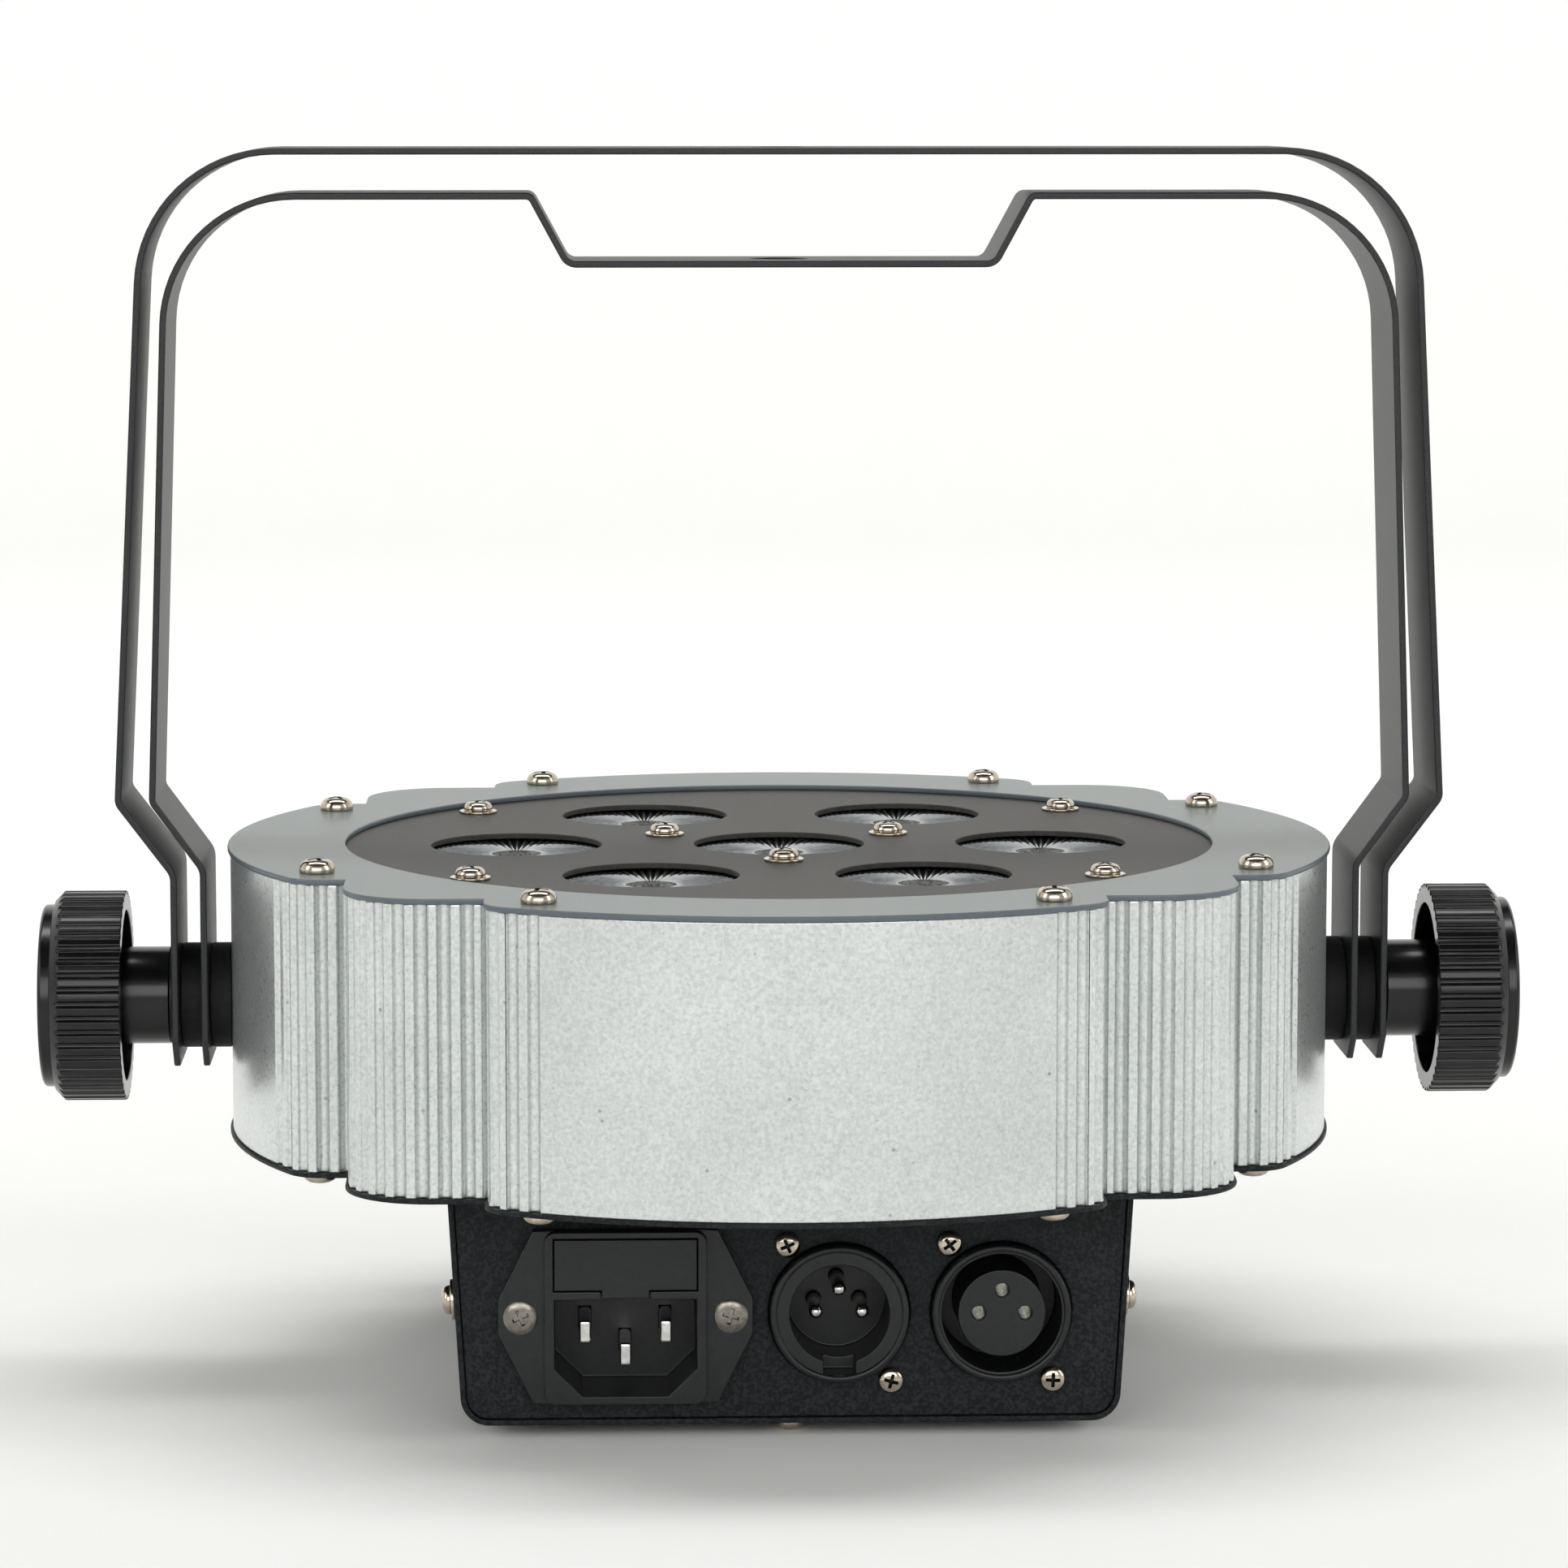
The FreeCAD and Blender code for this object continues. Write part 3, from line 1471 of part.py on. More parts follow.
KNOB_FACE = "(hub_length + knob_width)"
KNOB_TOP = "(hub_length + knob_width + cap_height)"
KNOB_PROFILE = [
    ("stud_radius + stud_play + insert_wall", 0),
    ("press_washer_radius", 0),
    ("press_washer_radius", f"{KNOB_FACE} - knob_web"),
    ("knob_radius - knob_rim", f"{KNOB_FACE} - knob_web"),
    ("knob_radius - knob_rim", "hub_length"),
    ("knob_radius", "hub_length"),
    ("knob_radius", f"{KNOB_FACE} - knob_chamfer"),
    ("knob_radius - knob_chamfer", KNOB_FACE),
    ("cap_radius", KNOB_FACE),
    ("cap_radius", f"{KNOB_TOP} - 0.5"),
    ("cap_radius - 0.5", KNOB_TOP),
    (0, KNOB_TOP),
    (0, "stud_reach + stud_end_room"),
    ("stud_radius + stud_play", "stud_reach + stud_end_room"),
    ("stud_radius + stud_play", "insert_length"),
    ("stud_radius + stud_play + insert_wall", "insert_length"),
]


def ribbed_knob(name, at, turn):
    body = turned(name, KNOB_PROFILE, at, turn)
    sketch = body.newObject("Sketcher::SketchObject", name + "_rib_gap")
    sketch.AttachmentSupport = (origin_plane(body, "XY_Plane"), [""])
    sketch.MapMode = "FlatFace"
    sketch.addGeometry(Part.Circle(Vector(v.knob_radius, 0, 0), Vector(0, 0, 1), 1))
    sketch.addConstraint(Sketcher.Constraint("PointOnObject", 0, 3, -1))
    reach = sketch.addConstraint(Sketcher.Constraint("DistanceX", -1, 1, 0, 3, v.knob_radius))
    sketch.setExpression(f"Constraints[{reach}]", full("knob_radius"))
    size = sketch.addConstraint(Sketcher.Constraint("Radius", 0, 1.0))
    sketch.setExpression(f"Constraints[{size}]", full("rib_gap_radius"))
    gap = body.newObject("PartDesign::Pocket", name + "_gap")
    gap.Profile = sketch
    gap.Type = "ThroughAll"
    gap.Reversed = True
    ribs = body.newObject("PartDesign::PolarPattern", name + "_ribs")
    ribs.Originals = [gap]
    ribs.Axis = (sketch, ["N_Axis"])
    ribs.Angle = 360
    ribs.setExpression("Occurrences", full("knob_ribs"))
    body.Tip = ribs
    return body


studs, nuts, rubbers = [], [], []
ring_round = cylinder(
    "ring_round", "ring_radius + 0.02", "4 * rubber_radius", (0, 0, "pivot_z - 2 * rubber_radius")
)
for side, sign in SIDES.items():
    turn = ALONG_X if sign > 0 else AGAINST_X
    stud_bore = cylinder(
        f"stud_bore_{side}", "stud_radius + stud_play", "hub_x", (f"{sign} * nut_x / 2", 0, "pivot_z"), turn
    )
    studs.append(
        cylinder(
            f"stud_{side}",
            "stud_radius",
            "hub_x + stud_reach - stud_x",
            (f"{sign} * stud_x", 0, "pivot_z"),
            turn,
        )
    )
    hexagon = [
        (f"nut_flats / sqrt(3) * cos({60 * corner})", f"nut_flats / sqrt(3) * sin({60 * corner})")
        for corner in range(6)
    ]
    blank = padded(f"nut_blank_{side}", hexagon, "nut_thick", (f"{sign} * nut_x", 0, "pivot_z"), turn)
    nuts.append(cut(f"nut_{side}", blank, stud_bore))
    inner_blank = cylinder(
        f"inner_rubber_blank_{side}",
        "rubber_radius",
        "inner_rubber - face_gap + 2",
        (f"{sign} * (ring_radius - 2)", 0, "pivot_z"),
        turn,
    )
    rubbers.append(cut(f"inner_rubber_{side}", inner_blank, stud_bore, ring_round))
    outer_blank = cylinder(
        f"outer_rubber_blank_{side}",
        "rubber_radius",
        "outer_rubber - 2 * face_gap",
        (f"{sign} * (inner_leg_x + face_gap)", 0, "pivot_z"),
        turn,
    )
    rubbers.append(cut(f"outer_rubber_{side}", outer_blank, stud_bore))
    at = (f"{sign} * hub_x", 0, "pivot_z")
    node(ribbed_knob(f"knob_{side}_body", at, turn), f"hand_knob_{side}")
    insert_profile = [
        ("stud_radius + stud_play", 0),
        ("stud_radius + stud_play + insert_wall", 0),
        ("stud_radius + stud_play + insert_wall", "insert_length"),
        ("stud_radius + stud_play", "insert_length"),
    ]
    node(turned(f"insert_{side}", insert_profile, at, turn), f"knob_insert_{side}")
    washer_profile = [
        ("stud_radius + stud_play", 0),
        ("press_washer_radius", 0),
        ("press_washer_radius", "press_washer_thick"),
        ("stud_radius + stud_play", "press_washer_thick"),
    ]
    washer_at = (f"{sign} * press_washer_x", 0, "pivot_z")
    node(turned(f"press_washer_{side}", washer_profile, washer_at, turn), f"pressure_washer_{side}")
node(group("stud_set", *studs), "pivot_studs")
node(group("nut_set", *nuts), "pivot_nuts")
node(group("rubber_set", *rubbers), "friction_washers")

# ---------- yoke ----------


def strap(corners):
    """A bent strap from the outer side's corners on its left half, mirrored, its feet's corners cut off."""
    right = [(-x, z, bend) for x, z, bend in reversed(corners)]
    half = v.strap_width / 2
    solid = pulled(strip_face(corners + right, v.strap_thick), -half, half)
    low = v.pivot_z - v.strap_drop
    high = v.pivot_z + v.outer_top + 1
    reach = v.outer_leg_x + v.outer_spread + 5
    inset = half - v.strap_chamfer
    edge = [(-inset, low), (inset, low), (half, low + v.strap_chamfer), (half, high), (-half, high)]
    edge.append((-half, low + v.strap_chamfer))
    points = [Vector(-reach, y, z) for y, z in edge]
    keep = Part.Face(Part.makePolygon(points + points[:1])).extrude(Vector(2 * reach, 0, 0))
    return solid.common(keep)


def leg_corners(leg, knee, shoulder, spread, lean, top, corner):
    return [
        (-leg, v.pivot_z - v.strap_drop, 0),
        (-leg, v.pivot_z + knee, v.knee_radius),
        (-leg - spread, v.pivot_z + shoulder, v.knee_radius),
        (-leg - spread + lean, v.pivot_z + top, corner),
    ]


def yoke_holes(name, top):
    """The two pivot holes and the clamp hole of one bracket."""
    clearance = "stud_radius + stud_play"
    pivots = [
        cylinder(
            f"{name}_pivot_{side}",
            clearance,
            "hub_x - ring_radius",
            (f"{sign} * ring_radius", 0, "pivot_z"),
            ALONG_X if sign > 0 else AGAINST_X,
        )
        for side, sign in SIDES.items()
    ]
    clamp_z = f"pivot_z + {top} - strap_thick * 2"
    clamp = cylinder(f"{name}_clamp", "clamp_hole", "strap_thick * 3", (0, 0, clamp_z))
    return [*pivots, clamp]


outer_corners = leg_corners(
    v.outer_leg_x, v.outer_knee, v.outer_shoulder, v.outer_spread, v.outer_lean, v.outer_top, v.outer_corner
)
outer_strap = shaped("outer_strap", strap(outer_corners))
node(cut("outer_bracket_solid", outer_strap, *yoke_holes("outer", "outer_top")), "outer_bracket")

inner_corners = leg_corners(
    v.inner_leg_x, v.inner_knee, v.inner_shoulder, v.inner_spread, v.inner_lean, v.inner_top, v.inner_corner
)
inner_corners.append((-v.dip_top_half, v.pivot_z + v.inner_top, v.dip_radius))
inner_corners.append((-v.dip_bottom_half, v.pivot_z + v.inner_top - v.dip_depth, v.dip_radius))
inner_strap = shaped("inner_strap", strap(inner_corners))
node(
    cut("inner_bracket_solid", inner_strap, *yoke_holes("inner", "inner_top - dip_depth")),
    "inner_bracket",
)

# ---------- safety eye ----------

eye_foot = block(
    "eye_foot_plate",
    ("2 * eye_half_width", "eye_foot", "eye_thick"),
    ("eye_x - eye_half_width", "eye_y", "plate_z - eye_thick"),
)
eye_leg = block(
    "eye_leg",
    ("2 * eye_half_width", "eye_thick", "eye_drop"),
    ("eye_x - eye_half_width", "eye_y", "plate_z - eye_drop"),
)
eye_hole = cylinder(
    "eye_hole",
    "eye_hole",
    "eye_thick * 3",
    ("eye_x", "eye_y - eye_thick", "plate_z - (eye_drop + eye_thick) / 2"),
    ALONG_Y,
)
eye_blank = cut("eye_pierced", joined("eye_whole", eye_foot, eye_leg), eye_hole)
node(drilled("eye_solid", eye_blank, drill, EYE_SCREWS), "safety_eye")

# ---------- check and write ----------


def main():
    doc.recompute()
    for thing in doc.Objects:
        faults = {"Invalid", "Error"} & set(thing.State)
        if faults:
            raise RuntimeError(f"{thing.Name} is in state {thing.State}")
    os.makedirs("parts", exist_ok=True)
    if len(NODES) > 60:
        raise RuntimeError(f"{len(NODES)} nodes are more than 60")
    for thing in NODES:
        shape = thing.Shape
        if shape.isNull() or not shape.isValid() or not shape.Solids:
            raise RuntimeError(f"{thing.Label} has no valid solid")
        shape.exportStep(f"parts/{thing.Label}.step")
        print(f"{thing.Label}: {len(shape.Solids)} solids, {shape.Volume:.0f} mm3")


main()
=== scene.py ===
# %% [markdown]
# # A flat par light, dressed for a portrait
# The light is a stage lamp with seven lenses in a low aluminium ring, a black connector box behind it and
# a double bracket that serves as a yoke or, spread apart, as a floor stand. Its mechanical model is loaded
# as a fixed frame. Every cell below adds one finish, or one piece that is finer than the mechanical model.
# Everything is in metres, Z is up along the beam, and the connectors face -Y.

# %% Load the frame
import math

import bmesh
import bpy
import numpy as np
from mathutils import Matrix, Vector


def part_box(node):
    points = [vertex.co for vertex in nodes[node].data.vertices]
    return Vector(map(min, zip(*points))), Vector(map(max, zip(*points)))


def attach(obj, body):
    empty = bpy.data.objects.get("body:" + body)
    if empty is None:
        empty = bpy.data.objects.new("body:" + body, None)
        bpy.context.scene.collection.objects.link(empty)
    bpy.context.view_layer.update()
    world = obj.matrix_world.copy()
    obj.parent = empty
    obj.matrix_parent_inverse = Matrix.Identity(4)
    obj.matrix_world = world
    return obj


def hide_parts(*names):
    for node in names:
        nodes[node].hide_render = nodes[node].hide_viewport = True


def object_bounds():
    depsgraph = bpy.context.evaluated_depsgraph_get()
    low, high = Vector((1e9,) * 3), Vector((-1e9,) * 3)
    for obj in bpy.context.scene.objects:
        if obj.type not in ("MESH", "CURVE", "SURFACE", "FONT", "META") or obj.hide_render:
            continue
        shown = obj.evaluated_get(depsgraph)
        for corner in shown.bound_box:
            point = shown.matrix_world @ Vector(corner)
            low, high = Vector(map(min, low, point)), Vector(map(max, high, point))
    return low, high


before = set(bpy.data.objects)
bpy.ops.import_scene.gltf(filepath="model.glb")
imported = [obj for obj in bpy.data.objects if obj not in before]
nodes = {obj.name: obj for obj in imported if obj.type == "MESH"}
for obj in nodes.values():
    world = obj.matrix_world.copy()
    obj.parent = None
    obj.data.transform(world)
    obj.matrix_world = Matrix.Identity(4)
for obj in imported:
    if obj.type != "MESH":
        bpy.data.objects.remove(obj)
cad_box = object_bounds()
MM = 0.001
print("frame:", len(nodes), "nodes, size in mm", [round(x / MM, 1) for x in cad_box[1] - cad_box[0]])

# %% [markdown]
# ## The camera
# The light is seen from just above its front rim, a metre away, and a little from the left. A long lens
# keeps the two knobs nearly the same size. A wide lens close up would bend the ring and make the near
# knob swell, so the distance is chosen first and the focal length follows from it.

# %% Camera
LENS_FOCAL = 131.1
top_of_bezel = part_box("front_bezel")[1].z
eye = Vector((-38.2, -1027.6, 135.75)) * MM + Vector((0, 0, top_of_bezel))
aim = Vector((0.95, 0, 9.8)) * MM + Vector((0, 0, top_of_bezel))
camera_data = bpy.data.cameras.new("portrait_camera")
camera_data.lens = LENS_FOCAL
camera_data.sensor_width = 36
camera = bpy.data.objects.new("portrait_camera", camera_data)
camera.location = eye
camera.rotation_euler = (aim - eye).to_track_quat("-Z", "Y").to_euler()
scene = bpy.context.scene
scene.collection.objects.link(camera)
scene.camera = camera
print("camera is", round((aim - eye).length, 3), "m from its aim")

# %% [markdown]
# ## Floor and light
# A studio floor is one white sheet that curves up into the wall, so no horizon line shows. The same could
# be done with a plane and a bright world, but the sheet also gives the glossy parts something soft to
# mirror. It goes all the way round, as a turned bowl, so the light can be seen from any side.

# %% The white sweep
def linear(code):
    """A linear colour with alpha from an sRGB hex code such as 8a9492."""
    shares = [int(code[i : i + 2], 16) / 255 for i in (0, 2, 4)]
    return [s / 12.92 if s <= 0.04045 else ((s + 0.055) / 1.055) ** 2.4 for s in shares] + [1]


def add(tree, kind, inputs=None, **fields):
    """Adds one shader node. Fields are its own settings; inputs are numbers, colours or nodes' sockets."""
    made = tree.nodes.new("ShaderNode" + kind)
    for name, value in fields.items():
        setattr(made, name, value)
    for name, value in (inputs or {}).items():
        if isinstance(value, bpy.types.NodeSocket):
            tree.links.new(value, made.inputs[name])
        else:
            made.inputs[name].default_value = value
    return made


def new_object(name, mesh):
    made = bpy.data.objects.new(name, mesh)
    scene.collection.objects.link(made)
    return made


def mesh_from(name, points, faces, smooth=True):
    mesh = bpy.data.meshes.new(name)
    mesh.from_pydata([tuple(p) for p in points], [], faces)
    mesh.update()
    if smooth:
        mesh.shade_smooth()
    return mesh


SWEEP_RADIUS = 2.8
SWEEP_BEND = 0.9
SWEEP_TOP = 2.7
SWEEP_AROUND = 96
BEND_STEPS = 16
flat = SWEEP_RADIUS - SWEEP_BEND
sweep_line = [(0.02, 0.0), (1.0, 0.0), (flat, 0.0)]
for step in range(1, BEND_STEPS + 1):
    a = math.radians(90 * step / BEND_STEPS)
    sweep_line.append((flat + SWEEP_BEND * math.sin(a), SWEEP_BEND - SWEEP_BEND * math.cos(a)))
sweep_line.append((SWEEP_RADIUS, SWEEP_TOP))
sweep_points = []
for r, z in sweep_line:
    for k in range(SWEEP_AROUND):
        a = 2 * math.pi * k / SWEEP_AROUND
        sweep_points.append((r * math.cos(a), r * math.sin(a), z))
sweep_faces = []
for i in range(len(sweep_line) - 1):
    for k in range(SWEEP_AROUND):
        here, ahead = i * SWEEP_AROUND + k, i * SWEEP_AROUND + (k + 1) % SWEEP_AROUND
        sweep_faces.append((here, ahead, ahead + SWEEP_AROUND, here + SWEEP_AROUND))
sweep_faces.append(tuple(range(SWEEP_AROUND)))
sweep = new_object("white_sweep", mesh_from("white_sweep", sweep_points, sweep_faces))
paper = bpy.data.materials.new("matt_white_paper")
paper.use_nodes = True
paper.node_tree.nodes["Principled BSDF"].inputs["Base Color"].default_value = linear("f6f6f4")
paper.node_tree.nodes["Principled BSDF"].inputs["Roughness"].default_value = 0.9
sweep.data.materials.append(paper)
print("sweep:", len(sweep_faces), "faces")

# %% [markdown]
# ## Soft studio light
# Metal and paint are read by what they mirror. One large soft box in front keeps the ring bright where it
# faces the viewer, two weaker ones graze the sides, and one overhead lights the lens plate. The world
# stays a quiet grey, so the ends of the ring fall off into shade and look round. A broad wash lights the
# far wall, so the ground behind the light stays white.

# %% Lamps
def soft_box(name, place, target, width, height, watts):
    data = bpy.data.lights.new(name, "AREA")
    data.shape = "RECTANGLE"
    data.size = width
    data.size_y = height
    data.energy = watts
    made = bpy.data.objects.new(name, data)
    made.location = place
    made.rotation_euler = (Vector(target) - Vector(place)).to_track_quat("-Z", "Y").to_euler()
    scene.collection.objects.link(made)
    return made


middle = (cad_box[0] + cad_box[1]) / 2
soft_box("front_soft_box", (-0.1, -2.0, 0.75), middle, 2.3, 0.9, 18)
soft_box("left_soft_box", (-1.7, -0.7, 0.9), middle, 0.7, 1.2, 6)
soft_box("right_soft_box", (1.7, -0.6, 0.9), middle, 0.7, 1.2, 7.5)
soft_box("top_soft_box", (0, 0.3, 1.9), middle, 1.5, 1.2, 2.3)
soft_box("backdrop_wash", (0, 0.3, 2.3), (0, 2.3, 0.6), 3.0, 0.8, 50)
world = bpy.data.worlds.new("studio")
world.use_nodes = True
world.node_tree.nodes["Background"].inputs["Color"].default_value = linear("c8cacc")
world.node_tree.nodes["Background"].inputs["Strength"].default_value = 0.1
scene.world = world
scene.view_settings.view_transform = "Standard"

# %% [markdown]
# ## One way to write every finish
# A painted or moulded surface is never one even colour: the grain of the paint, the powder or the mould
# changes its colour, gloss and height together. So one recipe makes a finish from two colours and a grain
# in millimetres, and the special ones add their own nodes to it afterwards. The pattern is read in the
# object's own space, so it stays on the piece when a joint moves it.

# %% The recipe
finishes = {}
GLOSS_SPREAD = 0.06


def finish(slot, name, colour, fleck, metallic, roughness, grain, depth, low=0.4, high=0.6):
    """A finish for one slot. Colour turns to fleck over the grain (mm); the surface rises by depth (mm)."""
    made = bpy.data.materials.new(name)
    made.use_nodes = True
    tree = made.node_tree
    shader = tree.nodes["Principled BSDF"]
    shader.inputs["Metallic"].default_value = metallic
    place = add(tree, "TexCoord").outputs["Object"]
    grain_noise = {"Vector": place, "Scale": 1 / (grain * MM), "Detail": 3.0, "Roughness": 0.6}
    grains = add(tree, "TexNoise", grain_noise)
    share = add(tree, "MapRange", {"Value": grains.outputs["Fac"], "From Min": low, "From Max": high})
    pair = {"Color1": linear(colour), "Color2": linear(fleck)}
    tint = add(tree, "MixRGB", {"Fac": share.outputs["Result"], **pair})
    gloss_range = {"To Min": roughness - GLOSS_SPREAD, "To Max": roughness + GLOSS_SPREAD}
    gloss = add(tree, "MapRange", {"Value": grains.outputs["Fac"], **gloss_range})
    rise = add(tree, "Bump", {"Height": grains.outputs["Fac"], "Distance": depth * MM, "Strength": 1.0})
    tree.links.new(tint.outputs["Color"], shader.inputs["Base Color"])
    tree.links.new(gloss.outputs["Result"], shader.inputs["Roughness"])
    tree.links.new(rise.outputs["Normal"], shader.inputs["Normal"])
    finishes[slot] = made
    return tree, shader, place, tint, grains


print("recipe ready")

# %% [markdown]
# ## Silver lacquer on the ring
# The ring is extruded aluminium under a sprayed silver lacquer. Flakes of aluminium lie nearly flat in the
# clear binder, so it is bright where it faces the lamps and falls off to grey at the ends of the arms. Real
# flakes are about 0.05 mm and would vanish here, so they are drawn 0.7 mm apart, with a faint cloud over
# centimetres for the uneven spray.

# %% Silver lacquer
tree, shader, place, tint, grains = finish(
    "silver_paint", "silver_flake_lacquer", "ccd1d0", "e2e5e4", 0.8, 0.29, 0.7, 0.016, 0.36, 0.64
)
cloud = add(tree, "TexNoise", {"Vector": place, "Scale": 1 / (22 * MM), "Detail": 2.0})
cloud_range = {"From Min": 0.3, "From Max": 0.7, "To Min": 0.9, "To Max": 1.0}
shade = add(tree, "MapRange", {"Value": cloud.outputs["Fac"], **cloud_range})
pair = {"Color1": tint.outputs["Color"], "Color2": shade.outputs["Result"]}
clouded = add(tree, "MixRGB", {"Fac": 1.0, **pair}, blend_type="MULTIPLY")
# Specks of dust under the lacquer, about one to every 7 mm.
specks = add(tree, "TexVoronoi", {"Vector": place, "Scale": 1 / (7.0 * MM)})
speck_range = {"From Min": 0.03, "From Max": 0.06, "To Min": 0.6, "To Max": 0.0}
speck_share = add(tree, "MapRange", {"Value": specks.outputs["Distance"], **speck_range})
pair = {"Color1": clouded.outputs["Color"], "Color2": linear("6d7270")}
specked = add(tree, "MixRGB", {"Fac": speck_share.outputs["Result"], **pair})
tree.links.new(specked.outputs["Color"], shader.inputs["Base Color"])
# The binder is a clear film over the flakes: a weak second highlight, sharper than the metal's.
shader.inputs["Coat Weight"].default_value = 0.15
shader.inputs["Coat Roughness"].default_value = 0.2
print("silver lacquer: flakes 0.7 mm, cloud 22 mm")

# %% [markdown]
# ## Grey enamel on the bezel
# The bezel is laser-cut sheet steel under a cool grey stoving enamel. It has enough gloss to mirror the
# screws softly. Handling leaves small dark rubs, sparse and a millimetre or two long. The edge is painted
# darker and bluer than the face: this is painted shade on the faces that turn sideways, away from the
# lamps overhead. The surface's own normal tells the face from the edge.

# %% Grey enamel
tree, shader, place, tint, grains = finish(
    "grey_paint", "cool_grey_enamel", "646c6b", "6c7473", 0.0, 0.36, 1.6, 0.006
)
rub_noise = {"Scale": 1 / (3.2 * MM), "Detail": 5.0, "Roughness": 0.75, "Distortion": 1.2}
rubs = add(tree, "TexNoise", {"Vector": place, **rub_noise})
rub_range = {"From Min": 0.625, "From Max": 0.7, "To Max": 0.6}
rub_share = add(tree, "MapRange", {"Value": rubs.outputs["Fac"], **rub_range})
pair = {"Color1": tint.outputs["Color"], "Color2": linear("5c6160")}
rubbed = add(tree, "MixRGB", {"Fac": rub_share.outputs["Result"], **pair})
# Painted shade: faces that turn sideways, away from the overhead lamps, are painted darker and bluer.
facing = add(tree, "SeparateXYZ", {"Vector": add(tree, "TexCoord").outputs["Normal"]})
side_shade_range = {"From Min": 0.35, "From Max": 0.93, "To Min": 1.0, "To Max": 0.0}
side_shade_share = add(tree, "MapRange", {"Value": facing.outputs["Z"], **side_shade_range})
pair = {"Color1": rubbed.outputs["Color"], "Color2": linear("59636a")}
side_shaded = add(tree, "MixRGB", {"Fac": side_shade_share.outputs["Result"], **pair})
tree.links.new(side_shaded.outputs["Color"], shader.inputs["Base Color"])
shader.inputs["Specular IOR Level"].default_value = 0.35
shader.inputs["Coat Weight"].default_value = 0.12
shader.inputs["Coat Roughness"].default_value = 0.12
print("grey enamel: rubs 3.2 mm apart at their densest")

# %% [markdown]
# ## Warm grey on the lens plate, black powder on the box and the yoke
# The plate behind the bezel is the same kind of enamel in a warm grey, with a little dust in it. The box is
# powder coated: the powder melts into a low orange peel about 0.6 mm across, dark with small light
# specks. The yoke has a finer powder, and its wide faces look grey where they are seen edge-on, because
# any smooth paint mirrors more at a low angle.

# %% Plate, box and yoke
tree, shader, place, tint, grains = finish(
    "brown_grey_paint", "warm_grey_enamel", "353330", "3b3936", 0.0, 0.5, 0.9, 0.012
)
shader.inputs["Specular IOR Level"].default_value = 0.25
dust = add(tree, "TexVoronoi", {"Vector": place, "Scale": 1 / (4.0 * MM)})
dust_range = {"From Min": 0.045, "From Max": 0.075, "To Min": 0.4, "To Max": 0.0}
dust_share = add(tree, "MapRange", {"Value": dust.outputs["Distance"], **dust_range})
pair = {"Color1": tint.outputs["Color"], "Color2": linear("6b6a64")}
dusty = add(tree, "MixRGB", {"Fac": dust_share.outputs["Result"], **pair})
tree.links.new(dusty.outputs["Color"], shader.inputs["Base Color"])

tree, shader, place, tint, grains = finish(
    "black_texture", "black_textured_powder", "0c0e10", "24282b", 0.0, 0.5, 0.6, 0.08, 0.42, 0.62
)
shader.inputs["Specular IOR Level"].default_value = 0.18
tree, shader, place, tint, grains = finish(
    "yoke_paint", "fine_black_powder", "16181a", "232527", 0.0, 0.44, 0.5, 0.02
)
shader.inputs["Specular IOR Level"].default_value = 0.4
print("enamel and powders ready")

# %% [markdown]
# ## Metals
# Bare metal has no colour of its own but that of its mirror image, so what names it is its tint and how
# sharp it mirrors. The screws are nickel plated, warm and sharp. Zinc is colder and duller. The contacts
# are tin plated. The extruded heat sink is aluminium, and the knob has a turned brass insert.

# %% Metal finishes
finish("bright_screw", "nickel_plate", "cfc4b6", "b9ae9f", 1.0, 0.16, 0.9, 0.004)
finish("dark_screw", "dull_nickel_plate", "8d8880", "7b766e", 1.0, 0.24, 0.9, 0.004)
# The cross recess is painted dark: partly a duller unplated surface, partly painted shade in its hollow.
finish("recess", "unplated_recess_and_painted_shade", "2c2926", "1c1a18", 0.7, 0.45, 0.5, 0.01)
finish("zinc_steel", "zinc_plate", "b4b9bd", "9ea4aa", 1.0, 0.34, 2.0, 0.006)
finish("black_steel", "blackened_steel", "1a1b1c", "242526", 0.6, 0.42, 0.8, 0.01)
finish("contact_metal", "tin_plate", "dcdcd8", "c6c6c2", 1.0, 0.2, 1.2, 0.004)
finish("sink_aluminium", "extruded_aluminium", "b9bcbe", "a4a8ab", 1.0, 0.38, 1.5, 0.008)
finish("insert_brass", "turned_brass", "c7a355", "ad8a40", 1.0, 0.3, 0.6, 0.008)
print("metals ready")

# %% [markdown]
# ## Plastics and rubber
# The knobs are injection-moulded ABS from a polished tool: black and glossy, so every rib carries a thin
# line of light. The sockets are glass-filled nylon, which leaves the tool satin, with a faint mottle.
# Rubber is nearly matt. The red filter over the display and the lens holders are polycarbonate.

# %% Moulded finishes
tree, shader, place, tint, grains = finish(
    "knob_plastic", "polished_black_abs", "070809", "0b0c0d", 0.0, 0.2, 3.0, 0.006
)
shader.inputs["Specular IOR Level"].default_value = 0.4
tree, shader, place, tint, grains = finish(
    "socket_plastic", "charcoal_nylon", "0f1112", "15181a", 0.0, 0.36, 0.8, 0.012
)
shader.inputs["Specular IOR Level"].default_value = 0.4
tree, shader, place, tint, grains = finish(
    "black_rubber", "nitrile_rubber", "0d0d0e", "141415", 0.0, 0.68, 0.5, 0.02
)
shader.inputs["Specular IOR Level"].default_value = 0.3
finish("holder_plastic", "black_lens_cup", "121314", "18191a", 0.0, 0.45, 0.8, 0.01)
finish("button_grey", "grey_silicone_key", "8b8f92", "969a9d", 0.0, 0.55, 0.7, 0.01)
tree, shader, place, tint, grains = finish(
    "window_red", "smoked_red_filter", "2a0506", "350809", 0.0, 0.12, 6.0, 0.002
)
shader.inputs["Coat Weight"].default_value = 0.6
finish("component_black", "epoxy_case", "1d1e20", "2a2b2e", 0.0, 0.5, 1.2, 0.01)
